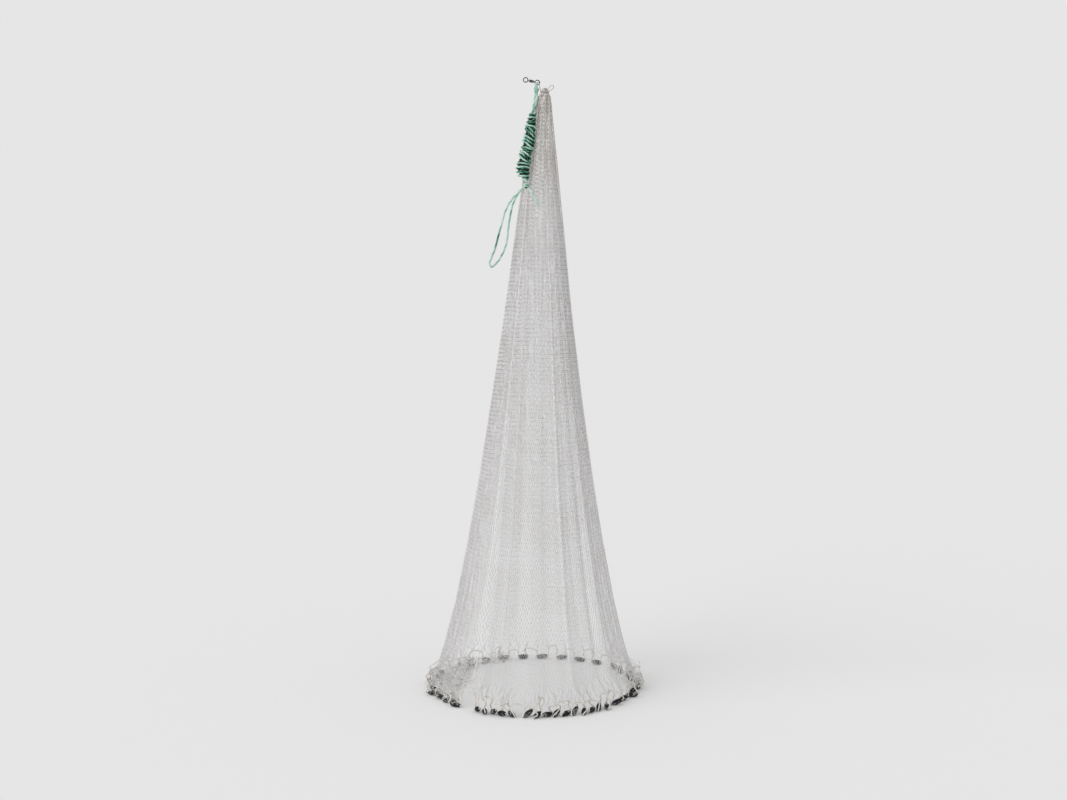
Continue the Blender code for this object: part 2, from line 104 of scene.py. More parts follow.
class Tree:
    """Adds nodes to a shader tree or a geometry tree."""

    def __init__(self, tree: bpy.types.NodeTree) -> None:
        """Keeps the tree that nodes are added to."""
        self.tree = tree

    def node(self, kind: str, values: dict | None = None, output: object = 0, **settings: object) -> Value:
        """Adds a node.

        Args:
            kind: The node's type.
            values: Numbers, colours or Values for its sockets, by name or number.
            output: The output socket that is wanted, by name or number.
            settings: Properties of the node, set first. stops are a ramp's (place, colour) pairs.

        Returns:
            The wanted output.
        """
        node = self.tree.nodes.new(kind)
        stops = settings.pop("stops", None)
        for name, setting in settings.items():
            setattr(node, name, setting)
        if stops:
            ramp = node.color_ramp.elements
            while len(ramp) < len(stops):
                ramp.new(1.0)
            for element, (place, colour) in zip(ramp, stops):
                element.position = place
                element.color = (*colour, 1.0)
        for key, value in (values or {}).items():
            if isinstance(value, Value):
                self.tree.links.new(value.socket, node.inputs[key])
            else:
                node.inputs[key].default_value = value
        return Value(self, node.outputs[output])

    def ramp(self, factor: Value, stops: list[tuple[float, Colour]]) -> Value:
        """A colour from a ramp's (place, colour) stops."""
        return self.node("ShaderNodeValToRGB", {"Fac": factor}, stops=stops)

    def mix(self, factor: object, first: object, second: object) -> Value:
        """A colour between two colours."""
        pair = [(*c, 1.0) if isinstance(c, tuple) else c for c in (first, second)]
        return self.node("ShaderNodeMix", {0: factor, 6: pair[0], 7: pair[1]}, output=2, data_type="RGBA")

    def noise(self, where: Value, scale: float, detail: float = 3.0, roughness: float = 0.55) -> Value:
        """Noise from about 0.3 to 0.7 at a number of features a metre."""
        values = {"Vector": where, "Scale": scale, "Detail": detail, "Roughness": roughness}
        return self.node("ShaderNodeTexNoise", values)

    def attribute(self, name: str) -> Value:
        """A number stored on the mesh."""
        return self.node("ShaderNodeAttribute", output="Fac", attribute_name=name)

    def axis(self, vector: Value, letter: str) -> Value:
        """One part of a vector."""
        return self.node("ShaderNodeSeparateXYZ", {0: vector}, output=letter)

    def real(self, geometry: Value) -> Value:
        """Instances made into real geometry."""
        return self.node("GeometryNodeRealizeInstances", {0: geometry})

    def jolted(self, geometry: Value, scale: float, detail: float, amount: Value) -> Value:
        """Geometry whose points are pushed unevenly, by up to about half the amount."""
        where = self.node("GeometryNodeInputPosition")
        values = {"Vector": where, "Scale": scale, "Detail": detail}
        shift = self.node("ShaderNodeTexNoise", values, output=1)
        even = self.node("ShaderNodeVectorMath", {0: shift, 1: (0.5, 0.5, 0.5)}, operation="SUBTRACT")
        push = self.node("ShaderNodeVectorMath", {0: even, "Scale": amount}, operation="SCALE")
        return self.node("GeometryNodeSetPosition", {"Geometry": geometry, "Offset": push})


# ---- finishes


@dataclass(frozen=True)
class Finish:
    """A surface finish: one Principled material."""

    name: str
    roughness: float
    metallic: float = 0.0
    specular: float = 0.5

    def material(self) -> bpy.types.Material:
        """Makes the material the first time, and gives the same one after that."""
        found = bpy.data.materials.get(self.name)
        if found:
            return found
        made = bpy.data.materials.new(self.name)
        made.use_nodes = True
        tree = Tree(made.node_tree)
        shader = made.node_tree.nodes["Principled BSDF"]
        shader.inputs["Roughness"].default_value = self.roughness
        shader.inputs["Metallic"].default_value = self.metallic
        shader.inputs["Specular IOR Level"].default_value = self.specular
        self.dress(tree, shader)
        return made

    def dress(self, tree: Tree, shader: bpy.types.Node) -> None:
        """Adds what varies over the surface. Each finish has its own."""

    @staticmethod
    def connect(tree: Tree, shader: bpy.types.Node, **values: Value) -> None:
        """Links values to the shader's sockets, whose names have _ for a space."""
        for name, value in values.items():
            tree.tree.links.new(value.socket, shader.inputs[name.replace("_", " ")])

    @staticmethod
    def bump(tree: Tree, height: Value, distance: float, strength: float = 1.0) -> Value:
        """A normal from a height."""
        values = {"Height": height, "Distance": distance, "Strength": strength}
        return tree.node("ShaderNodeBump", values, output="Normal")

    @staticmethod
    def place(tree: Tree) -> Value:
        """The point's own place on the object."""
        return tree.node("ShaderNodeTexCoord", output="Object")

    @staticmethod
    def along(tree: Tree) -> tuple[Value, Value]:
        """(share of the way round, metres along) on a swept cord."""
        uv = tree.node("ShaderNodeUVMap", uv_map="lay")
        around = tree.axis(uv, "X")
        return around, Value(tree, around.socket.node.outputs["Y"])


@dataclass(frozen=True)
class TwineFinish(Finish):
    """Knotted nylon twine: pale, a little soiled in patches and browner where it is gathered at the crown.
    Light streaks on the crown are painted light; netting lying on the floor is painted lighter, with painted
    shadow specks.
    """

    pale: Colour = (0.74, 0.725, 0.73)
    soiled: Colour = (0.60, 0.585, 0.575)
    crown: Colour = (0.45, 0.385, 0.32)
    tied: Colour = (0.29, 0.255, 0.23)
    # White, for painted light: the crown's streaks and the netting lying on the floor.
    painted_light: Colour = (0.96, 0.945, 0.93)
    # Near black, for the painted shadow specks on netting lying on the floor.
    shadow_speck: Colour = (0.035, 0.032, 0.032)
    crown_low: float = -0.42
    crown_high: float = -0.02
    rows_low: float = -1.0
    rows_slope: float = 1.7
    lying_high: float = 0.034
    lying_slope: float = 70.0
    lying_part: float = 0.95
    glint: Colour = (0.80, 0.79, 0.79)
    patch_scale: float = 9.0
    patch_edge: tuple = (0.42, 3.0)
    fine_scale: float = 620.0
    streak_scale: float = 170.0
    streak_edge: tuple = (0.44, 5.0)
    streak_part: float = 0.75
    streak_shape: tuple = (1.0, 1.0, 0.05)
    shadow_speck_scale: float = 150.0
    shadow_speck_edge: tuple = (0.56, 18.0)
    twist_scale: float = 2600.0
    twist_depth: float = 0.00012

    def dress(self, tree: Tree, shader: bpy.types.Node) -> None:
        """Colour by height, patches and knots, painted light streaks and glints, painted light and shadow
        specks where the netting lies on the floor, and a fine twist in the surface.
        """
        where = self.place(tree)
        height = tree.axis(where, "Z")
        patches = tree.noise(where, self.patch_scale, 4.0)
        fine = tree.noise(where, self.fine_scale, 2.0)
        knot = tree.attribute("knot")
        colour = tree.mix(patches.past(*self.patch_edge), self.pale, self.soiled)
        high = height.past(self.crown_low, 1.0 / (self.crown_high - self.crown_low))
        colour = tree.mix((high * high) * (0.55 + patches * 0.6), colour, self.crown)
        upright = tree.node("ShaderNodeVectorMath", {0: where, 1: self.streak_shape}, operation="MULTIPLY")
        # Vertical streaks of painted light down the crown, standing in for the light on its pleats.
        streaks = tree.noise(upright, self.streak_scale, 1.0).past(*self.streak_edge)
        colour = tree.mix((high * 1.6).clamped() * streaks * self.streak_part, colour, self.painted_light)
        colour = tree.mix((fine * (0.30 - high * 0.24)).clamped(), colour, self.glint)
        rows = height.past(self.rows_low, self.rows_slope) * (1 - high * 0.9)
        colour = tree.mix(knot * (rows * 0.33 + 0.50), colour, self.tied)
        lying = ((FLOOR_Z + self.lying_high - height) * self.lying_slope).clamped()
        shadow_specks = tree.noise(where, self.shadow_speck_scale, 2.0)
        # Netting lying on the floor is painted lighter: painted light against the shade it lies in.
        colour = tree.mix(lying * self.lying_part, colour, self.painted_light)
        # Dark specks on that netting are painted shadow among the crumpled twine.
        colour = tree.mix(lying * shadow_specks.past(*self.shadow_speck_edge) * self.lying_part, colour, self.shadow_speck)
        rough = 0.30 + fine * 0.30
        normal = self.bump(tree, tree.noise(where, self.twist_scale, 1.0), self.twist_depth)
        self.connect(tree, shader, Base_Color=colour, Roughness=rough, Normal=normal)


@dataclass(frozen=True)
class RopeFinish(Finish):
    """Laid rope: strands of fine filament, with painted shade between the strands and painted highlight on
    their crowns.
    """

    pale: Colour = (0.66, 0.82, 0.75)
    light: Colour = (0.27, 0.56, 0.43)
    body: Colour = (0.040, 0.19, 0.12)
    deep: Colour = (0.004, 0.026, 0.015)
    strands: int = 3
    filaments: int = 7
    filament_lay: float = 4200.0
    fleck: float = 0.50
    fleck_scale: float = 260.0
    wash: float = 0.7
    wash_scale: float = 42.0
    stretch: float = 0.10
    stretches: tuple = (37.0, 23.0, 64.0)
    dark_strand: float = 0.22
    shade: float = 0.74
    relief: float = 0.00022
    # How much the strands are painted lighter on their crowns and darker in their valleys: painted highlight
    # and painted shade.
    strand_shading_part: float = 0.26
    filament_part: float = 0.08
    middle: float = 0.53

    def dress(self, tree: Tree, shader: bpy.types.Node) -> None:
        """Painted shade in the strand valleys and painted highlight on their crowns, one dark strand,
        filaments, flecks, and painted shade deep in the winding.
        """
        around, length = self.along(tree)
        where = self.place(tree)
        shade = tree.attribute("shade")
        quarter, turns = TURN / 4, TURN * self.strands
        # 1 on each strand's crown and 0 in its valleys; in the tone this is painted highlight and painted
        # shade.
        crown = (around * turns + quarter).sine() * 0.5 + 0.5
        dark_strand = ((around * TURN + quarter).sine() * 1.5 - 0.35).clamped()
        filament = (around * (turns * self.filaments) + length * self.filament_lay).sine() * 0.5 + 0.5
        fleck = tree.noise(where, self.fleck_scale, 3.0, 0.65)
        wash = tree.noise(where, self.wash_scale, 2.0)
        first, second, third = self.stretches
        stretch = (length * first).sine() + (length * second + 1.3).sine() + (length * third + 2.1).sine()
        tone = crown * self.strand_shading_part + filament * self.filament_part
        tone = tone + (fleck - 0.5) * self.fleck + (wash - 0.5) * self.wash
        tone = tone + stretch * self.stretch + self.middle
        tone = (tone - dark_strand * self.dark_strand - shade * self.shade).clamped()
        stops = [(0.04, self.deep), (0.30, self.body), (0.56, self.light), (0.86, self.pale)]
        colour = tree.ramp(tone, stops)
        rough = 0.40 + (1 - crown) * 0.28
        normal = self.bump(tree, filament * 0.7 + crown * 0.3, self.relief)
        self.connect(tree, shader, Base_Color=colour, Roughness=rough, Normal=normal)


@dataclass(frozen=True)
class BraidFinish(Finish):
    """Small braided or laid cord of one colour, with painted shade between its yarns and soil in patches."""

    light: Colour = (0.80, 0.77, 0.71)
    dark: Colour = (0.42, 0.39, 0.34)
    strands: int = 4
    pitch: float = 0.006
    soil_scale: float = 60.0
    relief: float = 0.00015

    def dress(self, tree: Tree, shader: bpy.types.Node) -> None:
        """Two sets of crossing yarns, with painted shade where they dip, and soil."""
        around, length = self.along(tree)
        where = self.place(tree)
        turn = TURN * self.strands
        one = (around * turn + length * (TURN / self.pitch)).sine()
        other = (around * turn - length * (TURN / self.pitch)).sine()
        yarn = one * other * 0.5 + 0.5
        soil = tree.noise(where, self.soil_scale, 4.0)
        # The tone is darker where the yarns dip: painted shade between the yarns.
        tone = (yarn * 0.5 + (soil - 0.5) * 1.3 + 0.28).clamped()
        colour = tree.ramp(tone, [(0.10, self.dark), (0.75, self.light)])
        self.connect(tree, shader, Base_Color=colour, Normal=self.bump(tree, yarn, self.relief))


@dataclass(frozen=True)
class LeadFinish(Finish):
    """Cast lead: dark and dull, scuffed brighter, with pale patches that are partly oxide and partly painted
    highlight.
    """

    dark: Colour = (0.004, 0.004, 0.006)
    grey: Colour = (0.034, 0.034, 0.038)
    # Pale grey of the patches that are partly oxide and partly painted highlight.
    oxide_and_highlight: Colour = (0.50, 0.50, 0.50)
    scales: tuple = ((130.0, 5.0), (420.0, 3.0), (105.0, 3.0))
    oxide_and_highlight_edge: tuple = (0.52, 7.0)
    oxide_and_highlight_part: float = 0.75
    relief: float = 0.0006

    def dress(self, tree: Tree, shader: bpy.types.Node) -> None:
        """Blotches, pale patches of oxide and painted highlight, and small dents."""
        where = self.place(tree)
        blotch, dents, bloom = (tree.noise(where, scale, detail, 0.6) for scale, detail in self.scales)
        colour = tree.ramp(blotch, [(0.38, self.dark), (0.62, self.grey)])
        # Pale patches: partly oxide, partly painted highlight for bright spots of light on the lead.
        colour = tree.mix(bloom.past(*self.oxide_and_highlight_edge) * self.oxide_and_highlight_part, colour, self.oxide_and_highlight)
        rough = 0.38 + blotch * 0.35
        normal = self.bump(tree, dents + blotch * 0.6, self.relief, 0.7)
        self.connect(tree, shader, Base_Color=colour, Roughness=rough, Normal=normal)


@dataclass(frozen=True)
class MetalFinish(Finish):
    """Dark plated swivel metal, tarnished, with brighter rubbed places."""

    dark: Colour = (0.055, 0.050, 0.050)
    bright: Colour = (0.42, 0.40, 0.39)
    cloud_scale: float = 340.0
    scratch_scale: float = 2100.0
    relief: float = 0.00005

    def dress(self, tree: Tree, shader: bpy.types.Node) -> None:
        """Tarnish clouds and fine scratches."""
        where = self.place(tree)
        cloud = tree.noise(where, self.cloud_scale, 4.0, 0.6)
        scratch = tree.noise(where, self.scratch_scale, 2.0, 0.7)
        tone = ((cloud - 0.40) * 2.6 + (scratch - 0.5) * 0.8).clamped()
        colour = tree.ramp(tone, [(0.15, self.dark), (0.95, self.bright)])
        rough = 0.24 + (1 - tone) * 0.24
        normal = self.bump(tree, scratch, self.relief)
        self.connect(tree, shader, Base_Color=colour, Roughness=rough, Normal=normal)


@dataclass(frozen=True)
class FloorFinish(Finish):
    """Plain pale studio floor."""

    pale: float = 0.82

    def dress(self, tree: Tree, shader: bpy.types.Node) -> None:
        """One even grey with no gloss."""
        shader.inputs["Base Color"].default_value = (self.pale, self.pale, self.pale, 1.0)


TWINE = TwineFinish("netting twine", 0.4, specular=0.35)
SEAM_TWINE = TwineFinish("seam twine", 0.4, specular=0.35, pale=(0.90, 0.89, 0.89), soiled=(0.80, 0.79, 0.78))
ROPE = RopeFinish("green rope", 0.5, specular=0.35)
CROWN_CORD = BraidFinish("clear cord", 0.35, light=(0.60, 0.59, 0.57), dark=(0.34, 0.33, 0.31), pitch=0.004)
HEM_LINE = BraidFinish("braided line", 0.7, specular=0.25)
LEAD = LeadFinish("cast lead", 0.55, specular=0.12)
METAL = MetalFinish("swivel metal", 0.35, metallic=1.0)
FLOOR = FloorFinish("studio floor", 1.0, specular=0.0)


# ---- mesh and paths


def uneven(index: int, salt: float = 0.0) -> float:
    """A fixed, evenly spread number from -1 to 1 for this index."""
    return 2 * math.fmod(index * 0.618034 + salt, 1.0) - 1


def bell(azimuth: Vec, centre: float, half_width: float) -> Vec:
    """1 at the centre azimuth, falling smoothly to 0 over about two half widths. Degrees."""
    turn = (azimuth - centre + 180) % 360 - 180
    return np.exp(-((turn / half_width) ** 2))


def smooth_step(value: Vec) -> Vec:
    """0 to 1 with no slope at either end."""
    value = np.clip(value, 0.0, 1.0)
    return value * value * (3 - 2 * value)


def window(value: Vec, start: float, rise: float, end: float, fall: float) -> Vec:
    """0 up to the start, 1 once it has risen, and 0 again from the end, before which it falls."""
    return smooth_step((value - start) / rise) * smooth_step((end - value) / fall)


def varied(spread: tuple[float, float], index: int, salt: float) -> float:
    """A value from a (mean, swing) that differs unevenly from one index to the next."""
    return spread[0] + spread[1] * uneven(index, salt)


def unit(vector: Vec) -> Vec:
    """A vector, or each of a row of them, at length 1."""
    return vector / np.linalg.norm(vector, axis=-1, keepdims=True)


def distances(route: Vec) -> Vec:
    """How far along the route each of its points lies."""
    return np.concatenate([[0], np.cumsum(np.linalg.norm(np.diff(route, axis=0), axis=1))])


def points_at(at: Vec, along: Vec, points: Vec) -> Vec:
    """The points at places between those of the route's own points."""
    return np.stack([np.interp(at, along, points[:, k]) for k in range(3)], axis=1)


def hermite(t: Vec, start: Vec, start_slope: Vec, end: Vec, end_slope: Vec) -> Vec:
    """Points from start to end with these slopes there, at shares t of the way."""
    line = (2 * t**3 - 3 * t**2 + 1) * start + (t**3 - 2 * t**2 + t) * start_slope
    return line + (3 * t**2 - 2 * t**3) * end + (t**3 - t**2) * end_slope


def smooth_route(stops: Vec, count: int, closed: bool = False) -> Vec:
    """A smooth curve through stops, with count points from each stop to the next."""
    stops = np.asarray(stops, float)
    if closed:
        slopes = (np.roll(stops, -1, 0) - np.roll(stops, 1, 0)) / 2
        ends, end_slopes = np.roll(stops, -1, 0), np.roll(slopes, -1, 0)
    else:
        slopes = np.gradient(stops, axis=0)
        stops, ends, slopes, end_slopes = stops[:-1], stops[1:], slopes[:-1], slopes[1:]
    t = (np.arange(count) / count)[None, :, None]
    points = hermite(t, *(part[:, None] for part in (stops, slopes, ends, end_slopes))).reshape(-1, 3)
    return points if closed else np.vstack([points, ends[-1:]])


def spaced(points: Vec, step: float, closed: bool = False) -> Vec:
    """The route again with points about a step apart."""
    line = np.vstack([points, points[:1]]) if closed else points
    along = distances(line)
    out = points_at(np.linspace(0, along[-1], max(3, round(along[-1] / step)) + 1), along, line)
    return out[:-1] if closed else out


def route_length(points: Vec) -> float:
    """How long a route is."""
    return float(np.linalg.norm(np.diff(points, axis=0), axis=1).sum())


def plain_mesh(name: str, vertices: Vec, faces: list, uvs: Vec | None = None) -> Mesh:
    """A mesh from arrays, shaded smooth, with its cord map where it has one."""
    mesh = bpy.data.meshes.new(name)
    mesh.from_pydata(np.asarray(vertices, float).tolist(), [], faces)
    if uvs is not None:
        mesh.uv_layers.new(name="lay").data.foreach_set("uv", np.asarray(uvs, np.float32).ravel())
    mesh.shade_smooth()
    mesh.update()
    return mesh


def add_piece(name: str, mesh: Mesh, finish: Finish) -> Piece:
    """Puts a mesh into the scene as a piece with one finish."""
    piece = bpy.data.objects.new(name, mesh)
    mesh.materials.clear()
    mesh.materials.append(finish.material())
    bpy.context.scene.collection.objects.link(piece)
    return piece


def settle(piece: Piece, body: str, slot: str, *nodes: str) -> None:
    """Says which body a finished piece rides on and the nodes that it stands for."""
    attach(piece, body)
    if nodes:
        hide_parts(*nodes)
    LOG.info("%s: %d faces, stands for %s", piece.name, len(piece.data.polygons), ", ".join(nodes) or "nothing")


@dataclass
class Sweep:
    """A cord's surface swept along a route."""

    radius: float
    sides: int = 8
    lay: Lay = Lay.ROUND
    lay_length: float = 0.0
    valley: float = 0.0
    closed: bool = False
    end_rings: tuple = ((0.30, 0.55), (0.78, 0.36))

    def frames(self, route: Vec) -> tuple[Vec, Vec]:
        """Two unit directions across the route at each point, turning as little as they can."""
        after = np.roll(route, -1, 0) - route
        before = route - np.roll(route, 1, 0)
        if not self.closed:
            after[-1], before[0] = before[-1], after[0]
        tangents = unit(unit(after) + unit(before))
        aside = (0.0, 0.0, 1.0) if abs(tangents[0][2]) < 0.9 else (1.0, 0.0, 0.0)
        across = [unit(np.cross(tangents[0], aside))]
        for tangent in tangents[1:]:
            across.append(unit(across[-1] - tangent * across[-1].dot(tangent)))
        across = np.array(across)
        return across, np.cross(tangents, across)

    @staticmethod
    def closing_turn(across: Vec, up: Vec) -> float:
        """How far the directions have turned when a closed route comes back to its start."""
        tangent = np.cross(across[0], up[0])
        back = across[-1] - tangent * across[-1].dot(tangent)
        return math.atan2(back.dot(up[0]), back.dot(across[0]))

    def mesh(self, name: str, route: Vec) -> Mesh:
        """Sweeps the cord.

        Args:
            name: The mesh's name.
            route: The centreline's points in metres.

        Returns:
            A closed mesh with a map: the share of the way round, and the metres along.
        """
        across, up = self.frames(route)
        along = distances(route)
        turn = along * (TURN / self.lay_length) if self.lay_length else along * 0
        if self.closed:
            turn = turn - self.closing_turn(across, up) * along / along[-1]
            turn *= 1 if not self.lay_length else round(turn[-1] / TURN) * TURN / turn[-1]
        corner = TURN * np.arange(self.sides) / self.sides
        shape = self.radius * (1 - self.valley * (0.5 - 0.5 * np.cos(corner * max(self.lay.value, 1))))
        angle = (corner[None, :] + turn[:, None])[..., None]
        around = across[:, None] * np.cos(angle) + up[:, None] * np.sin(angle)
        return self.skin(name, route, route[:, None] + shape[None, :, None] * around, along)

    def skin(self, name: str, route: Vec, rings: Vec, along: Vec) -> Mesh:
        """Faces through rings of points, with rounded ends where the cord isn't closed."""
        if not self.closed:
            ends = []
            for point, ring, inner in ((route[0], rings[0], route[1]), (route[-1], rings[-1], route[-2])):
                out = unit(point - inner) * self.radius
                ends.append([point + (ring - point) * part + out * far for part, far in self.end_rings])
            rings = np.concatenate([ends[0], rings, ends[1][::-1]])
            along = np.concatenate([[along[0]] * 2, along, [along[-1]] * 2])
        count, sides = len(rings), self.sides
        i, j = np.divmod(np.arange((count if self.closed else count - 1) * sides), sides)
        after, k = (i + 1) % count, (j + 1) % sides
        faces = np.stack([i * sides + j, i * sides + k, after * sides + k, after * sides + j], axis=1).tolist()
        near, far = along[i], np.where(after > 0, along[after], along[-1])
        left, right = j / sides, (j + 1) / sides
        uvs = np.stack([left, near, right, near, right, far, left, far], axis=1).reshape(-1, 2)
        if not self.closed:
            faces += [tuple(range(sides))[::-1], tuple(range((count - 1) * sides, count * sides))]
            uvs = np.vstack([uvs, [(0.5, along[0])] * sides, [(0.5, along[-1])] * sides])
        return plain_mesh(name, rings.reshape(-1, 3), faces, uvs)


def vertices_of(mesh: Mesh) -> Vec:
    """A mesh's vertices as an array."""
    points = np.empty(len(mesh.vertices) * 3)
    mesh.vertices.foreach_get("co", points)
    return points.reshape(-1, 3)


def joined(name: str, meshes: list[Mesh]) -> Mesh:
    """One mesh from several, maps kept. The parts are removed."""
    vertices, faces, uvs = [], [], []
    for mesh in meshes:
        start = sum(map(len, vertices))
        vertices.append(vertices_of(mesh))
        faces += [tuple(start + v for v in face.vertices) for face in mesh.polygons]
        if mesh.uv_layers:
            uvs.append(np.empty(len(mesh.loops) * 2, np.float32))
            mesh.uv_layers["lay"].data.foreach_get("uv", uvs[-1])
        bpy.data.meshes.remove(mesh)
    return plain_mesh(name, np.vstack(vertices), faces, np.concatenate(uvs) if uvs else None)


def turned(name: str, profile: list[tuple[float, float]], sides: int, matrix: Vec) -> Mesh:
    """A closed outline turned about its own axis.

    Args:
        name: The mesh's name.
        profile: (radius, distance along the axis) corners, the outer side running up. 0 makes a pole.
        sides: How many sides it has.
        matrix: A 3 by 4 array: the two directions across, the axis and the start, as columns.

    Returns:
        The mesh.
    """
    vertices, rows, faces = [], [], []
    for radius, height in profile:
        rows.append([])
        for a in (TURN * np.arange(sides) / sides)[:1 if radius == 0 else sides]:
            rows[-1].append(len(vertices))
            vertices.append(matrix @ np.array([radius * math.cos(a), radius * math.sin(a), height, 1.0]))
    open_ended = profile[0][0] > 0
    for low, high in list(zip(rows, rows[1:])) + ([(rows[-1], rows[0])] if open_ended else []):
        for j in range(sides):
            k = (j + 1) % sides
            corners = [low[j % len(low)], low[k % len(low)], high[k % len(high)], high[j % len(high)]]
            faces.append(tuple(dict.fromkeys(corners)))
    return plain_mesh(name, np.array(vertices), faces)


# ---- the netting


@dataclass(frozen=True)
class NetForm:
    """The hung cone's form, from the hem up to the tuft above the neck."""

    sections: tuple = (
        (0.024, 0.2240, -0.0400), (0.061, 0.2190, -0.0400), (0.109, 0.2044, -0.0395), (0.204, 0.1806, -0.0380),
        (0.345, 0.1542, -0.0370), (0.486, 0.1310, -0.0360), (0.671, 0.1038, -0.0340), (0.855, 0.0785, -0.0315),
        (1.015, 0.0590, -0.0295), (1.128, 0.0444, -0.0275), (1.240, 0.0300, -0.0240), (1.307, 0.0205, -0.0210),
        (1.335, 0.0172, -0.0197), (1.350, 0.0150, -0.0184), (1.360, 0.0132, -0.0174), (1.3655, 0.0106, -0.0168),
        (1.3685, 0.0080, -0.0166), (1.3715, 0.0080, -0.0166), (1.3745, 0.0086, -0.0164),
        (1.3780, 0.0050, -0.0162),
    )
    folds: tuple = (
        (-88, 9, 0.022, 0.60), (-64, 8, -0.030, 0.85), (-50, 6, 0.026, 0.50), (-33, 6, -0.036, 1.05),
        (-17, 6, -0.034, 0.95), (-4, 6, 0.022, 0.70), (7, 5, -0.030, 1.00), (20, 6, 0.028, 1.20),
        (31, 5, -0.034, 0.95), (48, 7, 0.030, 0.80), (66, 8, -0.032, 0.90), (92, 9, 0.020, 0.60),
        (113, 8, -0.034, 1.00), (136, 8, 0.026, 0.75), (158, 8, -0.030, 0.90), (183, 9, 0.028, 0.65),
        (206, 8, -0.034, 1.05), (231, 9, 0.024, 0.70), (252, 8, -0.028, 0.85),
    )
    fold_part: float = 0.65
    fold_ease: float = 0.75
    pleats: tuple = (
        ((0.0, 0.18, 1.36, 0.1), ((23, 0.006, 0.4), (37, 0.005, 2.1), (61, 0.003, 4.0))),
        ((0.85, 0.4, 1.372, 0.02), ((9, 0.050, 1.2), (14, 0.040, 0.3))),
    )

    def section_at(self, height: Vec) -> tuple[Vec, Vec]:
        """(radius, centre_x) at these heights."""
        table = np.array(self.sections)
        return np.interp(height, table[:, 0], table[:, 1]), np.interp(height, table[:, 0], table[:, 2])

    def fold_share(self, azimuth: Vec, height: Vec) -> Vec:
        """How far the main folds push the wall out, as a share of its radius."""
        share = 0.0
        for at, width, depth, top in self.folds:
            fade = smooth_step((top - height) / (self.fold_ease * top))
            share = share + self.fold_part * depth * bell(azimuth, at, width) * fade
        return share

    @staticmethod
    def waves(azimuth: Vec, table: tuple) -> Vec:
        """The sum of a table's waves round the cone."""
        angle = np.radians(azimuth)
        return sum(depth * np.sin(count * angle + phase) for count, depth, phase in table)

    def wall_point(self, azimuth: Vec, height: Vec, clearance: Vec = 0.0, pleated: bool = False) -> Vec:
        """Points on the wall's outer face, or a clearance outside it."""
        radius, centre_x = self.section_at(height)
        share = self.fold_share(azimuth, height)
        if pleated:
            for heights, waves in self.pleats:
                share = share + window(height, *heights) * self.waves(azimuth, waves)
        reach = radius * (1 + share) + clearance
        angle = np.radians(azimuth)
        x, y = centre_x + reach * np.sin(angle), -reach * np.cos(angle)
        return np.stack([x, y, FLOOR_Z + height], axis=-1)


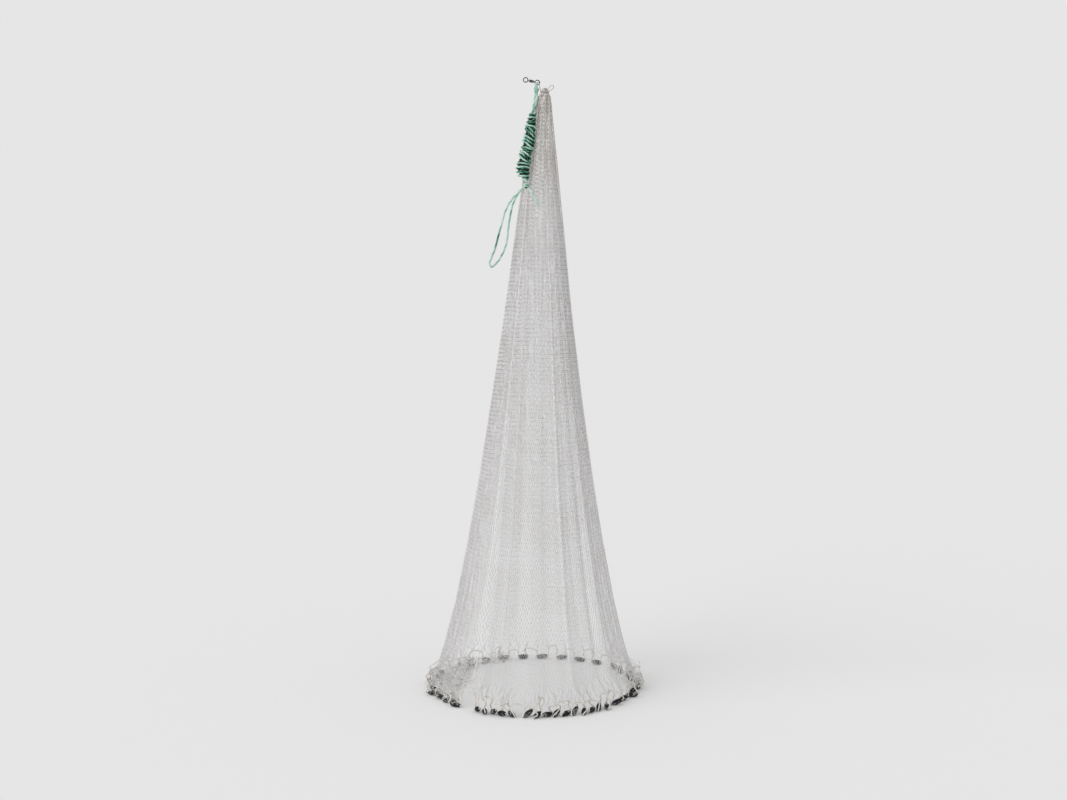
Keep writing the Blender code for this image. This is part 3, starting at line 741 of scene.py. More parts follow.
@dataclass
class HemLine:
    """The lead line and the sinkers on it, in bunches round the hem."""

    form: NetForm
    sinker_length: float = 0.026
    sinker_radius: float = 0.0057
    dent: float = 0.0011
    dent_scale: float = 190.0
    ring_radius: float = 0.2385
    bunches: tuple = (
        (-32.0, -12.0, 5, (42, 14), (10, 16), 0.003), (-3.5, 42.0, 10, (-42, 14), (12, 20), 0.003),
        (51.0, 127.0, 10, (30, 24), (6, 14), 0.006), (140.0, 222.0, 8, (-20, 28), (5, 10), 0.003),
        (231.0, 313.0, 11, (-32, 22), (6, 14), 0.006),
    )
    line_radius: float = 0.0013
    straight: float = 0.0036
    clearance: float = 0.0011
    leg_clearance: float = 0.0026
    hem_height: float = 0.024
    hem_margin: float = 0.0140
    arch_steps: int = 12
    arch: tuple = (0.046, 0.015)
    flares: tuple = ((88, 26, 0.030), (266, 26, 0.034))
    piles: tuple = ((86, 36, 0.80), (272, 38, 0.88), (15, 24, 0.30), (-22, 10, 0.30))
    pile_least: float = 0.12
    flare: tuple = (-0.25, 1.25)
    rise: tuple = (0.60, 0.28)
    flare_rise: float = 12.0
    rear: tuple = (180, 52)
    rear_drop: float = 0.45
    gap_span: float = 9.0
    gap_rise: float = 0.95
    curl: float = 0.0075
    curl_turns: float = 5.2
    tie_margin: float = 0.13
    bulge: tuple = (0.0062, 0.0030)
    flop: float = 0.0110
    stand_off: float = 0.0060
    pile_stand_off: float = 0.0010

    @staticmethod
    def directions(azimuth: float) -> tuple[Vec, Vec]:
        """The level directions outwards and along the hem."""
        sine, cosine = math.sin(math.radians(azimuth)), math.cos(math.radians(azimuth))
        return np.array([sine, -cosine, 0.0]), np.array([cosine, sine, 0.0])

    def places(self) -> list[Place]:
        """(azimuth, centre, direction) of each sinker, in the order that the line runs through them."""
        found = []
        for first, last, count, turn, lean, offset_swing in self.bunches:
            for k in range(count):
                i = len(found)
                azimuth = first + (last - first) * k / (count - 1)
                outward, along = self.directions(azimuth)
                yaw, pitch = math.radians(varied(turn, i, 0.37)), math.radians(varied(lean, i, 0.71))
                level = along * math.cos(yaw) + outward * math.sin(yaw)
                direction = level * math.cos(pitch) + np.array([0.0, 0.0, math.sin(pitch)])
                end, side = self.sinker_length / 2 * math.sin(pitch), self.sinker_radius * math.cos(pitch)
                outward = outward * varied((self.ring_radius, offset_swing), i, 0.13)
                centre = outward + np.array([self.form.sections[0][2], 0.0, FLOOR_Z + math.hypot(end, side)])
                found.append((azimuth, centre, direction))
        return found

    def pile_share(self, azimuth: Vec) -> Vec:
        """1 in the heaps at the two sides, about a third at the front and least at the back."""
        return self.pile_least + sum(share * bell(azimuth, at, width) for at, width, share in self.piles)

    def clear_of_wall(self, point: Vec, clearance: float) -> Vec:
        """The point, pushed straight out from the net's axis to this clearance where the wall is nearer."""
        height = point[2] - FLOOR_Z
        if height < self.hem_height - self.hem_margin:
            return point
        height = max(height, self.hem_height)
        offset = point - np.array([self.form.section_at(height)[1], 0.0, point[2]])
        azimuth = math.degrees(math.atan2(offset[0], -offset[1]))
        nearest = self.form.wall_point(azimuth, height, clearance)
        nearest[2] = point[2]
        return nearest if np.linalg.norm(offset) < np.linalg.norm(nearest - point + offset) else point

    def spans(self, places: list[Place]) -> list[Vec]:
        """The line's points from each sinker to the next."""
        return [self.span(i, place, places[(i + 1) % len(places)]) for i, place in enumerate(places)]

    def span(self, index: int, place: Place, next_place: Place) -> Vec:
        """Where the line leaves a sinker, its arch, and where it enters the next.

        Args:
            index: The sinker's number, which sets how this arch differs from the others.
            place: The sinker's azimuth, centre and direction.
            next_place: Those of the next one.

        Returns:
            The points.
        """
        reach = self.sinker_length / 2 + self.straight
        leave, enter = place[1] + place[2] * reach, next_place[1] - next_place[2] * reach
        width = (next_place[0] - place[0]) % 360
        middle, wide = place[0] + width / 2, width > self.gap_span
        flare = sum(depth * bell(middle, at, half) for at, half, depth in self.flares)
        flare *= max(varied(self.flare, index, 0.53), 0.0)
        height = varied(self.arch, index, 0.29)
        top = self.form.wall_point(middle, height, self.line_radius + self.clearance + flare)
        rise = self.gap_rise if wide else varied(self.rise, index, 0.91) + self.flare_rise * flare
        rise = (top - (leave + enter) / 2) * rise * (1 - self.rear_drop * float(bell(middle, *self.rear)))
        outward, tangent = self.directions(middle)
        lean = self.flop * uneven(index, 0.61)
        piled = float(self.pile_share(middle))
        off = (self.stand_off + self.pile_stand_off * piled) * (1 + uneven(index, 0.83))
        bulge = varied(self.bulge, index, 0.47)
        curl = self.curl * (0.25 + piled) * (not wide)
        points = [leave]
        for k in range(1, self.arch_steps):
            angle = math.pi * k / self.arch_steps
            up, share = math.sin(angle), (1 - math.cos(angle)) / 2
            point = leave * (1 - share) + enter * share + rise * up
            near = self.clearance if 2 * k == self.arch_steps else self.leg_clearance
            point = self.clear_of_wall(point, self.line_radius + near)
            slack = tangent * (lean * up**2 - bulge * math.sin(2 * angle))
            coil = self.curl_turns * angle + 2.0 * uneven(index, 0.19)
            slack += (tangent * math.cos(coil) + outward * 0.5 * (1 + math.sin(coil))) * curl * up
            points.append(point + slack + outward * off * up)
        return np.array([*points, enter])

    def hanging_points(self, per_span: int) -> tuple[Vec, Vec]:
        """The netting's ties, so many from each sinker to the next, and their azimuths, rising."""
        places = self.places()
        ties, azimuths = [], []
        share = (np.arange(per_span) + 0.5) / per_span
        for i, span in enumerate(self.spans(places)):
            fine = smooth_route(span, 8)
            along = distances(fine)
            width = (places[(i + 1) % len(places)][0] - places[i][0]) % 360
            at = self.tie_margin + (1 - 2 * self.tie_margin) * share
            if width > self.gap_span:
                at = np.where(at < 0.5, 0.5 * at, 0.5 + 0.5 * at)
            ties.append(points_at(at * along[-1], along, fine))
            azimuths.append(places[i][0] + width * share)
        return np.vstack(ties), np.concatenate(azimuths)

    def build(self) -> None:
        """Makes the lead line and the sinkers."""
        places = self.places()
        stops = []
        for i, span in enumerate(self.spans(places)):
            stops += [places[i][1], *span]
        route = spaced(smooth_route(np.array(stops), 10, closed=True), 0.0030, closed=True)
        sweep = Sweep(self.line_radius, sides=6, closed=True)
        line = add_piece("hem_line", sweep.mesh("hem_line", route), HEM_LINE)
        settle(line, NET_BODY, "line", "lead_line")
        self.build_sinkers(places)

    def sinker_template(self) -> Piece:
        """One bored sinker along Z, which the tree copies."""
        half = self.sinker_length / 2
        low = [
            (0.0022, -half + 0.0004), (0.0029, -half), (0.0036, -half + 0.0009), (0.0045, -0.72 * half),
            (0.0053, -0.42 * half), (0.0057, -0.10 * half),
        ]
        bore = [(0.0015, half - 0.0030), (0.0015, -half + 0.0030)]
        profile = low + [(radius, -z) for radius, z in reversed(low)] + bore
        upright = np.hstack([np.eye(3), np.zeros((3, 1))])
        return add_piece("sinker_template", turned("sinker_template", profile, 16, upright), LEAD)

    def build_sinkers(self, places: list[Place]) -> None:
        """Strings a sinker at each place, each with its own turn and small dents."""
        points = bpy.data.meshes.new("sinkers")
        points.from_pydata([tuple(centre) for _, centre, _ in places], [], [])
        heading = points.attributes.new("direction", "FLOAT_VECTOR", "POINT")
        heading.data.foreach_set("vector", np.array([direction for _, _, direction in places]).ravel())
        template = self.sinker_template()
        tree, inputs = open_group("String of sinkers", Sinker="Object", Dent="Float", Finish="Material")
        stored = {"Name": "direction"}
        direction = tree.node("GeometryNodeInputNamedAttribute", stored, data_type="FLOAT_VECTOR")
        aim = tree.node("FunctionNodeAlignRotationToVector", {"Vector": direction}, axis="Z")
        angles = {2: 0.0, 3: 6.283, "Seed": 4}
        spin = tree.node("FunctionNodeRandomValue", angles, output=1, data_type="FLOAT")
        spun = tree.node("FunctionNodeAxisAngleToRotation", {"Axis": (0, 0, 1), "Angle": spin})
        turn = tree.node("FunctionNodeRotateRotation", {0: aim, 1: spun}, rotation_space="LOCAL")
        shape = tree.node("GeometryNodeObjectInfo", {"Object": inputs["Sinker"]}, output="Geometry")
        strung = {"Points": inputs["Geometry"], "Instance": shape, "Rotation": turn}
        real = tree.real(tree.node("GeometryNodeInstanceOnPoints", strung))
        close_group(tree, tree.jolted(real, self.dent_scale, 1.0, inputs["Dent"]), inputs["Finish"])
        piece = grown("sinkers", points, tree, LEAD, Sinker=template, Dent=self.dent)
        bpy.data.objects.remove(template, do_unlink=True)
        settle(piece, NET_BODY, "lead", *(f"sinker_{i + 1:02d}" for i in range(len(places))))


def open_group(label: str, **sockets: str) -> tuple[Tree, dict[str, Value]]:
    """A new geometry tree and its inputs by name: the geometry, and these with the type of each."""
    group = bpy.data.node_groups.new(label, "GeometryNodeTree")
    for name, kind in {"Geometry": "Geometry", **sockets}.items():
        group.interface.new_socket(name=name, in_out="INPUT", socket_type=f"NodeSocket{kind}")
    group.interface.new_socket(name="Geometry", in_out="OUTPUT", socket_type="NodeSocketGeometry")
    node, tree = group.nodes.new("NodeGroupInput"), Tree(group)
    return tree, {name: Value(tree, node.outputs[name]) for name in ("Geometry", *sockets)}


def close_group(tree: Tree, geometry: Value, material: Value) -> None:
    """Ends a geometry tree: smooth, made real, with its material."""
    smooth = tree.node("GeometryNodeSetShadeSmooth", {"Geometry": geometry})
    dressed = tree.node("GeometryNodeSetMaterial", {"Geometry": tree.real(smooth), "Material": material})
    end = tree.tree.nodes.new("NodeGroupOutput")
    tree.tree.links.new(dressed.socket, end.inputs["Geometry"])


def grown(name: str, start: Mesh, tree: Tree, finish: Finish, **values: object) -> Piece:
    """Runs a geometry tree on a mesh.

    Args:
        name: The finished piece's name.
        start: The mesh that the tree is given.
        tree: The tree, with an input named Finish.
        finish: The finish of the piece.
        values: The tree's other inputs.

    Returns:
        The finished piece, a plain mesh with no modifier.
    """
    seed = bpy.data.objects.new(f"{name}_start", start)
    bpy.context.scene.collection.objects.link(seed)
    modifier = seed.modifiers.new("Grow", "NODES")
    modifier.node_group = tree.tree
    items = tree.tree.interface.items_tree
    sockets = {item.name: item.identifier for item in items if item.in_out == "INPUT"}
    for key, value in {**values, "Finish": finish.material()}.items():
        modifier[sockets[key]] = value
    bpy.context.view_layer.update()
    evaluated = seed.evaluated_get(bpy.context.evaluated_depsgraph_get())
    mesh = bpy.data.meshes.new_from_object(evaluated)
    mesh.name = name
    bpy.data.objects.remove(seed, do_unlink=True)
    return add_piece(name, mesh, finish)


@dataclass
class Netting:
    """The knotted netting: rows of knots down the cone, bars between them, six gores and their seams."""

    form: NetForm
    hem: HemLine
    rows: int = 143
    closing: tuple = (0.12, 0.50)
    sectors: int = 44
    first_columns: int = 2
    growth: tuple = (14.0, 33.0, 57.0, 84.0)
    growth_swing: float = 6.5
    gores: int = 6
    seam_azimuth: float = 21.0
    blend_height: float = 0.150
    blend_late: float = 0.60
    blend_later: float = 0.20
    heap_height: float = 0.075
    heap_low: float = 0.045
    heap_rows: float = 12
    heap_least: float = 0.2
    heap_drop: float = 0.5
    heap_gap: float = 0.003
    floor_gap: float = 0.0012
    heap_reach: float = 0.040
    tucks: tuple = ((262, 34, 0.085), (94, 22, 0.019), (205, 14, 0.020))
    tuck_rows: int = 9
    tuck_least: float = 0.014
    tuck_low: float = 0.004
    tuck_rise: float = 0.012
    tuck_crumple: float = 1.1
    sag: float = 0.0011
    sag_fade: float = 0.1
    crumple: float = 0.0105
    crumple_height: float = 0.066
    crumple_fade: float = 0.025
    crumple_scale: float = 150
    bar_radius: float = 0.00033
    knot_radius: float = 0.00082
    jitter: float = 0.0012
    jitter_scale: float = 340.0
    gathers: tuple = (
        (-50, 4.5, 0.12), (-29, 4, 0.15), (-19, 3.5, 0.14), (6, 3.5, 0.15), (16, 3.5, 0.20), (21, 1.8, -0.40),
        (25, 3.0, 0.20), (38, 4.5, 0.12), (62, 5, 0.06), (84, 6, 0.06), (120, 6, 0.12), (150, 5, 0.15),
        (171, 5, 0.12), (196, 6, 0.14), (224, 5, 0.12), (250, 5, 0.14), (282, 5, 0.12),
    )
    gather_top: float = 1.36
    gather_fade: float = 0.5
    tie_pull: float = 1.15
    tie_reach: float = 1.3
    sheet_width: float = 0.235
    sheet_length: float = 1.38
    twine_area: float = 0.102
    seam_radius: float = 0.00065
    seam_step: float = 0.006
    seam_sway: float = 0.35
    seam_low: float = 0.060
    seam_high: float = 1.345

    def columns_in(self, sector: int, row: int) -> int:
        """How many knots a sector's row has. Each sector gains columns at rows of its own."""
        grown_at = (at + self.growth_swing * uneven(sector, 0.23 * k) for k, at in enumerate(self.growth))
        return self.first_columns + sum(row > at for at in grown_at)

    def shares_in(self, row: int) -> Vec:
        """The share of the way round that each knot of a row has. Rows are half a mesh apart in turn."""
        shift = 0.5 * (row % 2)
        counts = [self.columns_in(sector, row) for sector in range(self.sectors)]
        within = [sector + (np.arange(count) + shift) / count for sector, count in enumerate(counts)]
        return np.concatenate(within) / self.sectors

    def azimuths(self, share: Vec, height: float, tie_azimuths: Vec) -> Vec:
        """A row's azimuths: even at the crown, the ties' own at the hem, and drawn to the gathers."""
        tie_share, wide_share = self.tie_shares(len(tie_azimuths))
        wide = np.concatenate([tie_azimuths - 360, tie_azimuths, tie_azimuths + 360])
        hem = np.interp(share, wide_share, wide)
        even = 360 * share + float(np.mean(tie_azimuths - 360 * tie_share))
        azimuth = even + (hem - even) * smooth_step(self.tie_pull - height / self.tie_reach)
        fade = smooth_step((self.gather_top - height) / self.gather_fade)
        moved = azimuth.copy()
        for centre, width, pull in self.gathers:
            turn = (azimuth - centre + 180) % 360 - 180
            moved = moved - pull * fade * turn * np.exp(-((turn / width) ** 2))
        return moved

    @staticmethod
    def tie_shares(count: int) -> tuple[Vec, Vec]:
        """The share of the way round of each tie, and the same with a turn before and a turn after."""
        share = (np.arange(count) + 0.5) / count
        return share, np.concatenate([share - 1, share, share + 1])

    def tied_points(self, share: Vec, ties: Vec) -> Vec:
        """The points of the ties, or between them, at shares of the way round."""
        return points_at(share, self.tie_shares(len(ties))[1], np.tile(ties, (3, 1)))

    @staticmethod
    def push_in(points: Vec, turn: Vec, inward: Vec) -> None:
        """Moves points level towards the net's axis."""
        points[:, 0] -= inward * np.sin(turn)
        points[:, 1] += inward * np.cos(turn)

    def turn_of(self, points: Vec) -> Vec:
        """The angle of points from the front, about the middle of the hem."""
        return np.arctan2(points[:, 0] - self.form.sections[0][2], -points[:, 1])

    def row_points(self, row: int, share: Vec, ties: Vec, tie_azimuths: Vec) -> Vec:
        """A row's knots.

        Args:
            row: The row, 0 at the top. Rows above 0 close the tuft.
            share: The share of the way round that each knot has.
            ties: Where the last row is tied.
            tie_azimuths: The azimuth of each tie.

        Returns:
            The knots' points.
        """
        high = self.form.sections[-1][0]
        height = high - (high - self.hem.hem_height) * max(row, 0) / self.rows
        azimuth = self.azimuths(share, height, tie_azimuths)
        if height < self.blend_height:
            return self.low_points(row, height, azimuth, self.tied_points(share, ties))
        turn = np.radians(azimuth)
        wave = np.sin(7 * turn + 3.1 * height) + 0.6 * np.sin(17 * turn - 5.3 * height + 1.0)
        level = height + self.sag * wave * smooth_step((high - height) / self.sag_fade)
        points = self.form.wall_point(azimuth, level, pleated=True)
        if row < 0:
            centre = np.array([self.form.sections[-1][2], 0.0, points[0][2]])
            points = centre + (points - centre) * self.closing[row]
        return points

    def low_points(self, row: int, height: float, azimuth: Vec, tied: Vec) -> Vec:
        """A row's knots close above the hem, drawn towards the ties and, in the heaps, inwards and down."""
        low, hem_height = self.blend_height, self.hem.hem_height
        down = (low - height) / (low - hem_height)
        level = low + (tied[:, 2] - FLOOR_Z - low) * down
        wall = self.form.wall_point(azimuth, np.maximum(level, hem_height), pleated=True)
        piled = self.hem.pile_share(azimuth)
        late = self.blend_late + self.blend_later * piled
        points = wall + (tied - wall) * smooth_step((down - late) / (1 - late))[:, None]
        points[:, 2] = FLOOR_Z + level
        under = smooth_step((self.heap_height - height) / (self.heap_height - self.heap_low))
        under = min(under * (self.rows - row) / self.rows * self.heap_rows, 1.0)
        inward = self.heap_reach * np.clip(piled - self.heap_least, 0, 1)
        inward = inward * under * math.sin(math.pi * under / 2)
        self.push_in(points, np.radians(azimuth), inward)
        points[:, 2] = np.maximum(points[:, 2] - inward * self.heap_drop, FLOOR_Z + self.heap_gap)
        loose = smooth_step((self.crumple_height - height) / self.crumple_fade) * (row < self.rows)
        points = points + self.crumpled(points) * (self.crumple * loose * piled)[:, None]
        points[:, 2] = np.maximum(points[:, 2], FLOOR_Z + self.floor_gap)
        return points

    def crumpled(self, points: Vec) -> Vec:
        """Uneven shifts from -1 to 1, alike within about 5 mm, for netting that lies in a heap."""
        scale, shifts = self.crumple_scale, []
        for x, y, z in points:
            places = [((x + 3 * axis) * scale, y * scale, z * scale) for axis in range(3)]
            shifts.append([2.2 * noise.noise(place) for place in places])
        return np.clip(np.array(shifts), -1, 1)

    @staticmethod
    def bars_between(above: Vec, below: Vec) -> list[tuple[int, int]]:
        """Each bar's (upper, lower) knots, from the rising shares of two rows. No knot is left without one."""
        count = len(above)
        wide = np.concatenate([above[-1:] - 1, above, above[:1] + 1])
        place = np.searchsorted(wide, below + 1e-9) - 1
        rest = (below - wide[place]) / (wide[place + 1] - wide[place])
        left, right = (place - 1) % count, place % count
        pairs = [(int(left[j]), j) for j in range(len(below)) if rest[j] < 0.76]
        pairs += [(int(right[j]), j) for j in range(len(below)) if rest[j] > 0.24]
        for upper in sorted(set(range(count)) - {pair[0] for pair in pairs}):
            gap = np.abs((below - above[upper] + 0.5) % 1.0 - 0.5)
            pairs.append((upper, int(gap.argmin())))
        return pairs

    def tuck_reach(self, azimuth: Vec) -> Vec:
        """How far the netting tucked in behind the lead line lies inwards over the floor."""
        return sum(reach * bell(azimuth, at, width) for at, width, reach in self.tucks)

    def tuck_points(self, row: int, share: Vec, ties: Vec) -> Vec:
        """A row's knots in the tucked netting, which lies in a heap inside the lead line."""
        points = self.tied_points(share, ties)
        turn = self.turn_of(points)
        part = row / self.tuck_rows
        self.push_in(points, turn, self.tuck_reach(np.degrees(turn)) * part)
        rise = self.tuck_rise * (1 + np.sin(9 * turn + 2.2 * row)) * (1 - part)
        points[:, 2] = FLOOR_Z + self.tuck_low + rise
        points += self.crumpled(points) * self.crumple * self.tuck_crumple
        points[:, 2] = np.maximum(points[:, 2], FLOOR_Z + self.floor_gap)
        return points

    def graph(self) -> tuple[Vec, Vec]:
        """The points of all knots, and the bars between them as pairs of knots."""
        ties, tie_azimuths = self.hem.hanging_points(self.first_columns + len(self.growth))
        points, bars, start, above = [], [], 0, None
        for row in range(-len(self.closing), self.rows + self.tuck_rows + 1):
            share = self.shares_in(row)
            pairs = [] if above is None else self.bars_between(above, share)
            if row > self.rows:
                points.append(self.tuck_points(row - self.rows, share, ties))
                reach = self.tuck_reach(np.degrees(self.turn_of(points[-1])))
                pairs = [(upper, lower) for upper, lower in pairs if reach[lower] > self.tuck_least]
            else:
                points.append(self.row_points(row, share, ties, tie_azimuths))
            bars += [(start - len(above) + upper, start + lower) for upper, lower in pairs]
            start, above = start + len(share), share
        return np.vstack(points), np.array(bars)

    def tree(self) -> Tree:
        """The geometry tree that turns a graph of knots into twine."""
        sockets = {"Bar": "Float", "Knot": "Float", "Jitter": "Float", "Finish": "Material"}
        tree, inputs = open_group("Knotted twine", **sockets)
        crown = ((tree.axis(tree.node("GeometryNodeInputPosition"), "Z") + 0.50) * 2.0).clamped()
        loose = inputs["Jitter"] * (1 - crown * 0.85)
        moved = tree.jolted(inputs["Geometry"], self.jitter_scale, 0.0, loose)
        lines = tree.node("GeometryNodeMeshToCurve", {"Mesh": moved})
        lines = tree.node("GeometryNodeSetCurveRadius", {"Curve": lines, "Radius": 1 + crown * 0.6})
        profile = tree.node("GeometryNodeCurvePrimitiveCircle", {"Resolution": 3, "Radius": inputs["Bar"]})
        drawn = {"Curve": lines, "Profile Curve": profile, "Fill Caps": True}
        bars = tree.node("GeometryNodeCurveToMesh", drawn)
        bead = tree.node("GeometryNodeMeshUVSphere", {"Segments": 4, "Rings": 2, "Radius": inputs["Knot"]})
        own = tree.node("GeometryNodeInputNamedAttribute", {"Name": "own"}, data_type="BOOLEAN")
        turns = {0: (0, 0, 0), 1: (6.28, 6.28, 6.28), "Seed": 7}
        turn = tree.node("FunctionNodeRandomValue", turns, data_type="FLOAT_VECTOR")
        sizes = {2: 0.85, 3: 1.2, "Seed": 8}
        size = tree.node("FunctionNodeRandomValue", sizes, output=1, data_type="FLOAT") * (1 - crown * 0.50)
        strung = {"Points": moved, "Selection": own, "Instance": bead, "Rotation": turn, "Scale": size}
        knots = tree.real(tree.node("GeometryNodeInstanceOnPoints", strung))
        marked = {"Geometry": knots, "Name": "knot", "Value": 1.0}
        knots = tree.node("GeometryNodeStoreNamedAttribute", marked, data_type="FLOAT", domain="POINT")
        both = tree.node("GeometryNodeJoinGeometry", {0: bars})
        tree.tree.links.new(knots.socket, both.socket.node.inputs[0])
        close_group(tree, both, inputs["Finish"])
        return tree

    def build(self) -> None:
        """Makes one piece of netting for each gore."""
        points, bars = self.graph()
        centre_x = self.form.section_at(points[:, 2] - FLOOR_Z)[1]
        azimuth = np.degrees(np.arctan2(points[:, 0] - centre_x, -points[:, 1]))
        knot_gore = ((azimuth - self.seam_azimuth) % 360 // (360 / self.gores)).astype(int)
        bar_gore = knot_gore[bars[:, 1]]
        tree = self.tree()
        sizes = {"Bar": self.bar_radius, "Knot": self.knot_radius, "Jitter": self.jitter}
        for gore in range(self.gores):
            used, index = np.unique(bars[bar_gore == gore], return_inverse=True)
            start = bpy.data.meshes.new(f"netting_{gore + 1}")
            start.from_pydata(points[used].tolist(), index.reshape(-1, 2).tolist(), [])
            own = start.attributes.new("own", "BOOLEAN", "POINT")
            own.data.foreach_set("value", knot_gore[used] == gore)
            piece = grown(f"netting_gore_{gore + 1}", start, tree, TWINE, **sizes)
            settle(piece, NET_BODY, "netting", f"net_gore_{gore + 1}")
        self.build_seams()

    def build_seams(self) -> None:
        """Laces the gores together with a heavier, paler twine down each seam."""
        sweep = Sweep(self.seam_radius, sides=5)
        height = np.arange(self.seam_high, self.seam_low, -self.seam_step)
        meshes = []
        for seam in range(self.gores):
            azimuth = np.full(len(height), self.seam_azimuth + 360 / self.gores * seam)
            azimuth = azimuth + self.seam_sway * np.sin(height * 23 + seam) * smooth_step((1.3 - height) / 0.3)
            route = self.form.wall_point(azimuth, height, self.knot_radius * 0.6, pleated=True)
            meshes.append(sweep.mesh(f"seam_{seam + 1}", route))
        piece = add_piece("netting_seams", joined("netting_seams", meshes), SEAM_TWINE)
        settle(piece, NET_BODY, "netting")


# ---- the crown


@dataclass
class Crown:
    """The whipping round the neck, the hanging loop and the becket."""

    cord_radius: float = 0.0009
    step: float = 0.0007
    whipping_radius: float = 0.00925
    whipping_low: float = 1.3686
    whipping_high: float = 1.3714
    turns: int = 2
    neck_x: float = -0.0166
    hanging_loop: tuple = (
        (-10.0, -6.5, -14.0), (-8.7, -7.2, -11.0), (-7.9, -6.8, -7.6), (-6.4, -5.0, -4.2), (-3.6, -2.8, -1.2),
        (0.0, -0.4, 0.9), (3.0, 1.2, -0.8), (3.2, 2.8, -4.4), (-0.2, 4.8, -7.6), (-5.0, 6.8, -10.6),
        (-10.0, 6.5, -14.0),
    )
    becket: tuple = (
        (-24.4, -4.6, -14.0), (-26.3, -5.6, -9.6), (-27.5, -5.3, -4.4), (-28.7, -3.8, 1.4), (-30.4, 0.0, 7.5),
        (-28.7, 3.8, 1.4), (-27.5, 5.3, -4.4), (-26.3, 5.6, -9.6), (-24.4, 4.6, -14.0),
    )

    def build(self) -> None:
        """Makes the crown cord as one piece."""
        sweep = Sweep(self.cord_radius, sides=10, lay=Lay.THREE_STRAND, lay_length=0.0062, valley=0.16)
        t = np.linspace(0, 1, 40 * self.turns + 1)
        angle = TURN * self.turns * t
        height = FLOOR_Z + (self.whipping_low + (self.whipping_high - self.whipping_low) * t)
        across = self.neck_x + self.whipping_radius * np.sin(angle)
        routes = {"whipping": np.stack([across, -self.whipping_radius * np.cos(angle), height], axis=1)}
        for name, stops in (("hanging_loop", self.hanging_loop), ("becket", self.becket)):
            routes[name] = smooth_route(np.array(stops) * MM, 12)
        meshes = [sweep.mesh(name, spaced(route, self.step)) for name, route in routes.items()]
        piece = add_piece("crown_cord_twisted", joined("crown_cord_twisted", meshes), CROWN_CORD)
        settle(piece, NET_BODY, "clear_cord", "crown_cord")


# ---- the swivel


@dataclass
class Swivel:
    """A barrel swivel: two rings whose headed shanks turn in a barrel."""

    tied_eye: tuple = (-0.0334, 0.0, 0.0070)
    direction: tuple = (-0.976884, 0.0, 0.213808)
    eye_radius: float = 0.0051
    wire_radius: float = 0.00115
    shank_radius: float = 0.0011
    head_radius: float = 0.0019
    head_length: float = 0.0014
    barrel_start: float = 0.0076
    barrel_length: float = 0.0118
    barrel_radius: float = 0.0031
    end_radius: float = 0.0025
    hole_radius: float = 0.0015
    inner_radius: float = 0.0023
    end_wall: float = 0.0016
    gap: float = 0.0003

    def matrix(self, distance: float, facing: int) -> Vec:
        """Directions across and along the swivel, and a start on its axis, as columns."""
        along = unit(np.array(self.direction))
        across = np.array([0.0, 1.0, 0.0])
        start = np.array(self.tied_eye) + along * distance
        return np.stack([np.cross(across, along) * facing, across, along * facing, start], axis=1)

    def eye(self, name: str, distance: float, facing: int) -> Mesh:
        """A wire ring, its neck and the headed shank inside the barrel."""
        matrix = self.matrix(distance, facing)
        t = TURN * np.arange(56) / 56
        ring = np.stack([self.eye_radius * np.cos(t), 0 * t, self.eye_radius * np.sin(t), 1 + 0 * t])
        wire = Sweep(self.wire_radius, sides=14, closed=True).mesh("ring", (matrix @ ring).T)
        head = self.barrel_start + self.end_wall + self.gap
        end, shank, ring_end = head + self.head_length, self.shank_radius, self.eye_radius
        profile = [
            (0.0, ring_end - 0.0002), (shank + 0.0004, ring_end), (shank + 0.0001, ring_end + 0.0012),
            (shank, self.barrel_start - 0.0004), (shank, head), (self.head_radius, head),
            (self.head_radius, end), (0.0, end),
        ]
        wire.uv_layers.remove(wire.uv_layers[0])
        return joined(name, [wire, turned("stem", profile, 20, matrix)])

    def barrel(self) -> Mesh:
        """The barrel, with a rounded shoulder at each end and a collar round each hole."""
        length, wall, wide = self.barrel_length, self.end_wall, self.barrel_radius
        half = [
            (self.hole_radius, 0.0), (self.end_radius - 0.0003, 0.0), (self.end_radius, 0.0002),
            (self.end_radius + 0.0001, 0.0009), (wide - 0.0002, 0.0013), (wide, 0.0019), (wide, 0.0038),
        ]
        inside = [
            (self.hole_radius, length - wall), (self.inner_radius, length - wall), (self.inner_radius, wall),
            (self.hole_radius, wall),
        ]
        mirrored = [(radius, length - along) for radius, along in reversed(half)]
        return turned("barrel", half + mirrored + inside, 36, self.matrix(self.barrel_start, 1))

    def build(self) -> None:
        """Makes the two eyes and the barrel, each on its own body."""
        spacing = 2 * self.barrel_start + self.barrel_length
        parts = (
            ("tied_eye", self.eye("tied_eye", 0.0, 1), NET_BODY), ("barrel", self.barrel(), BARREL_BODY),
            ("free_eye", self.eye("free_eye", spacing, -1), FREE_EYE_BODY),
        )
        for name, mesh, body in parts:
            piece = add_piece(f"{name}_metal", mesh, METAL)
            settle(piece, body, "swivel_metal", f"swivel_{name}")


# ---- the hand line


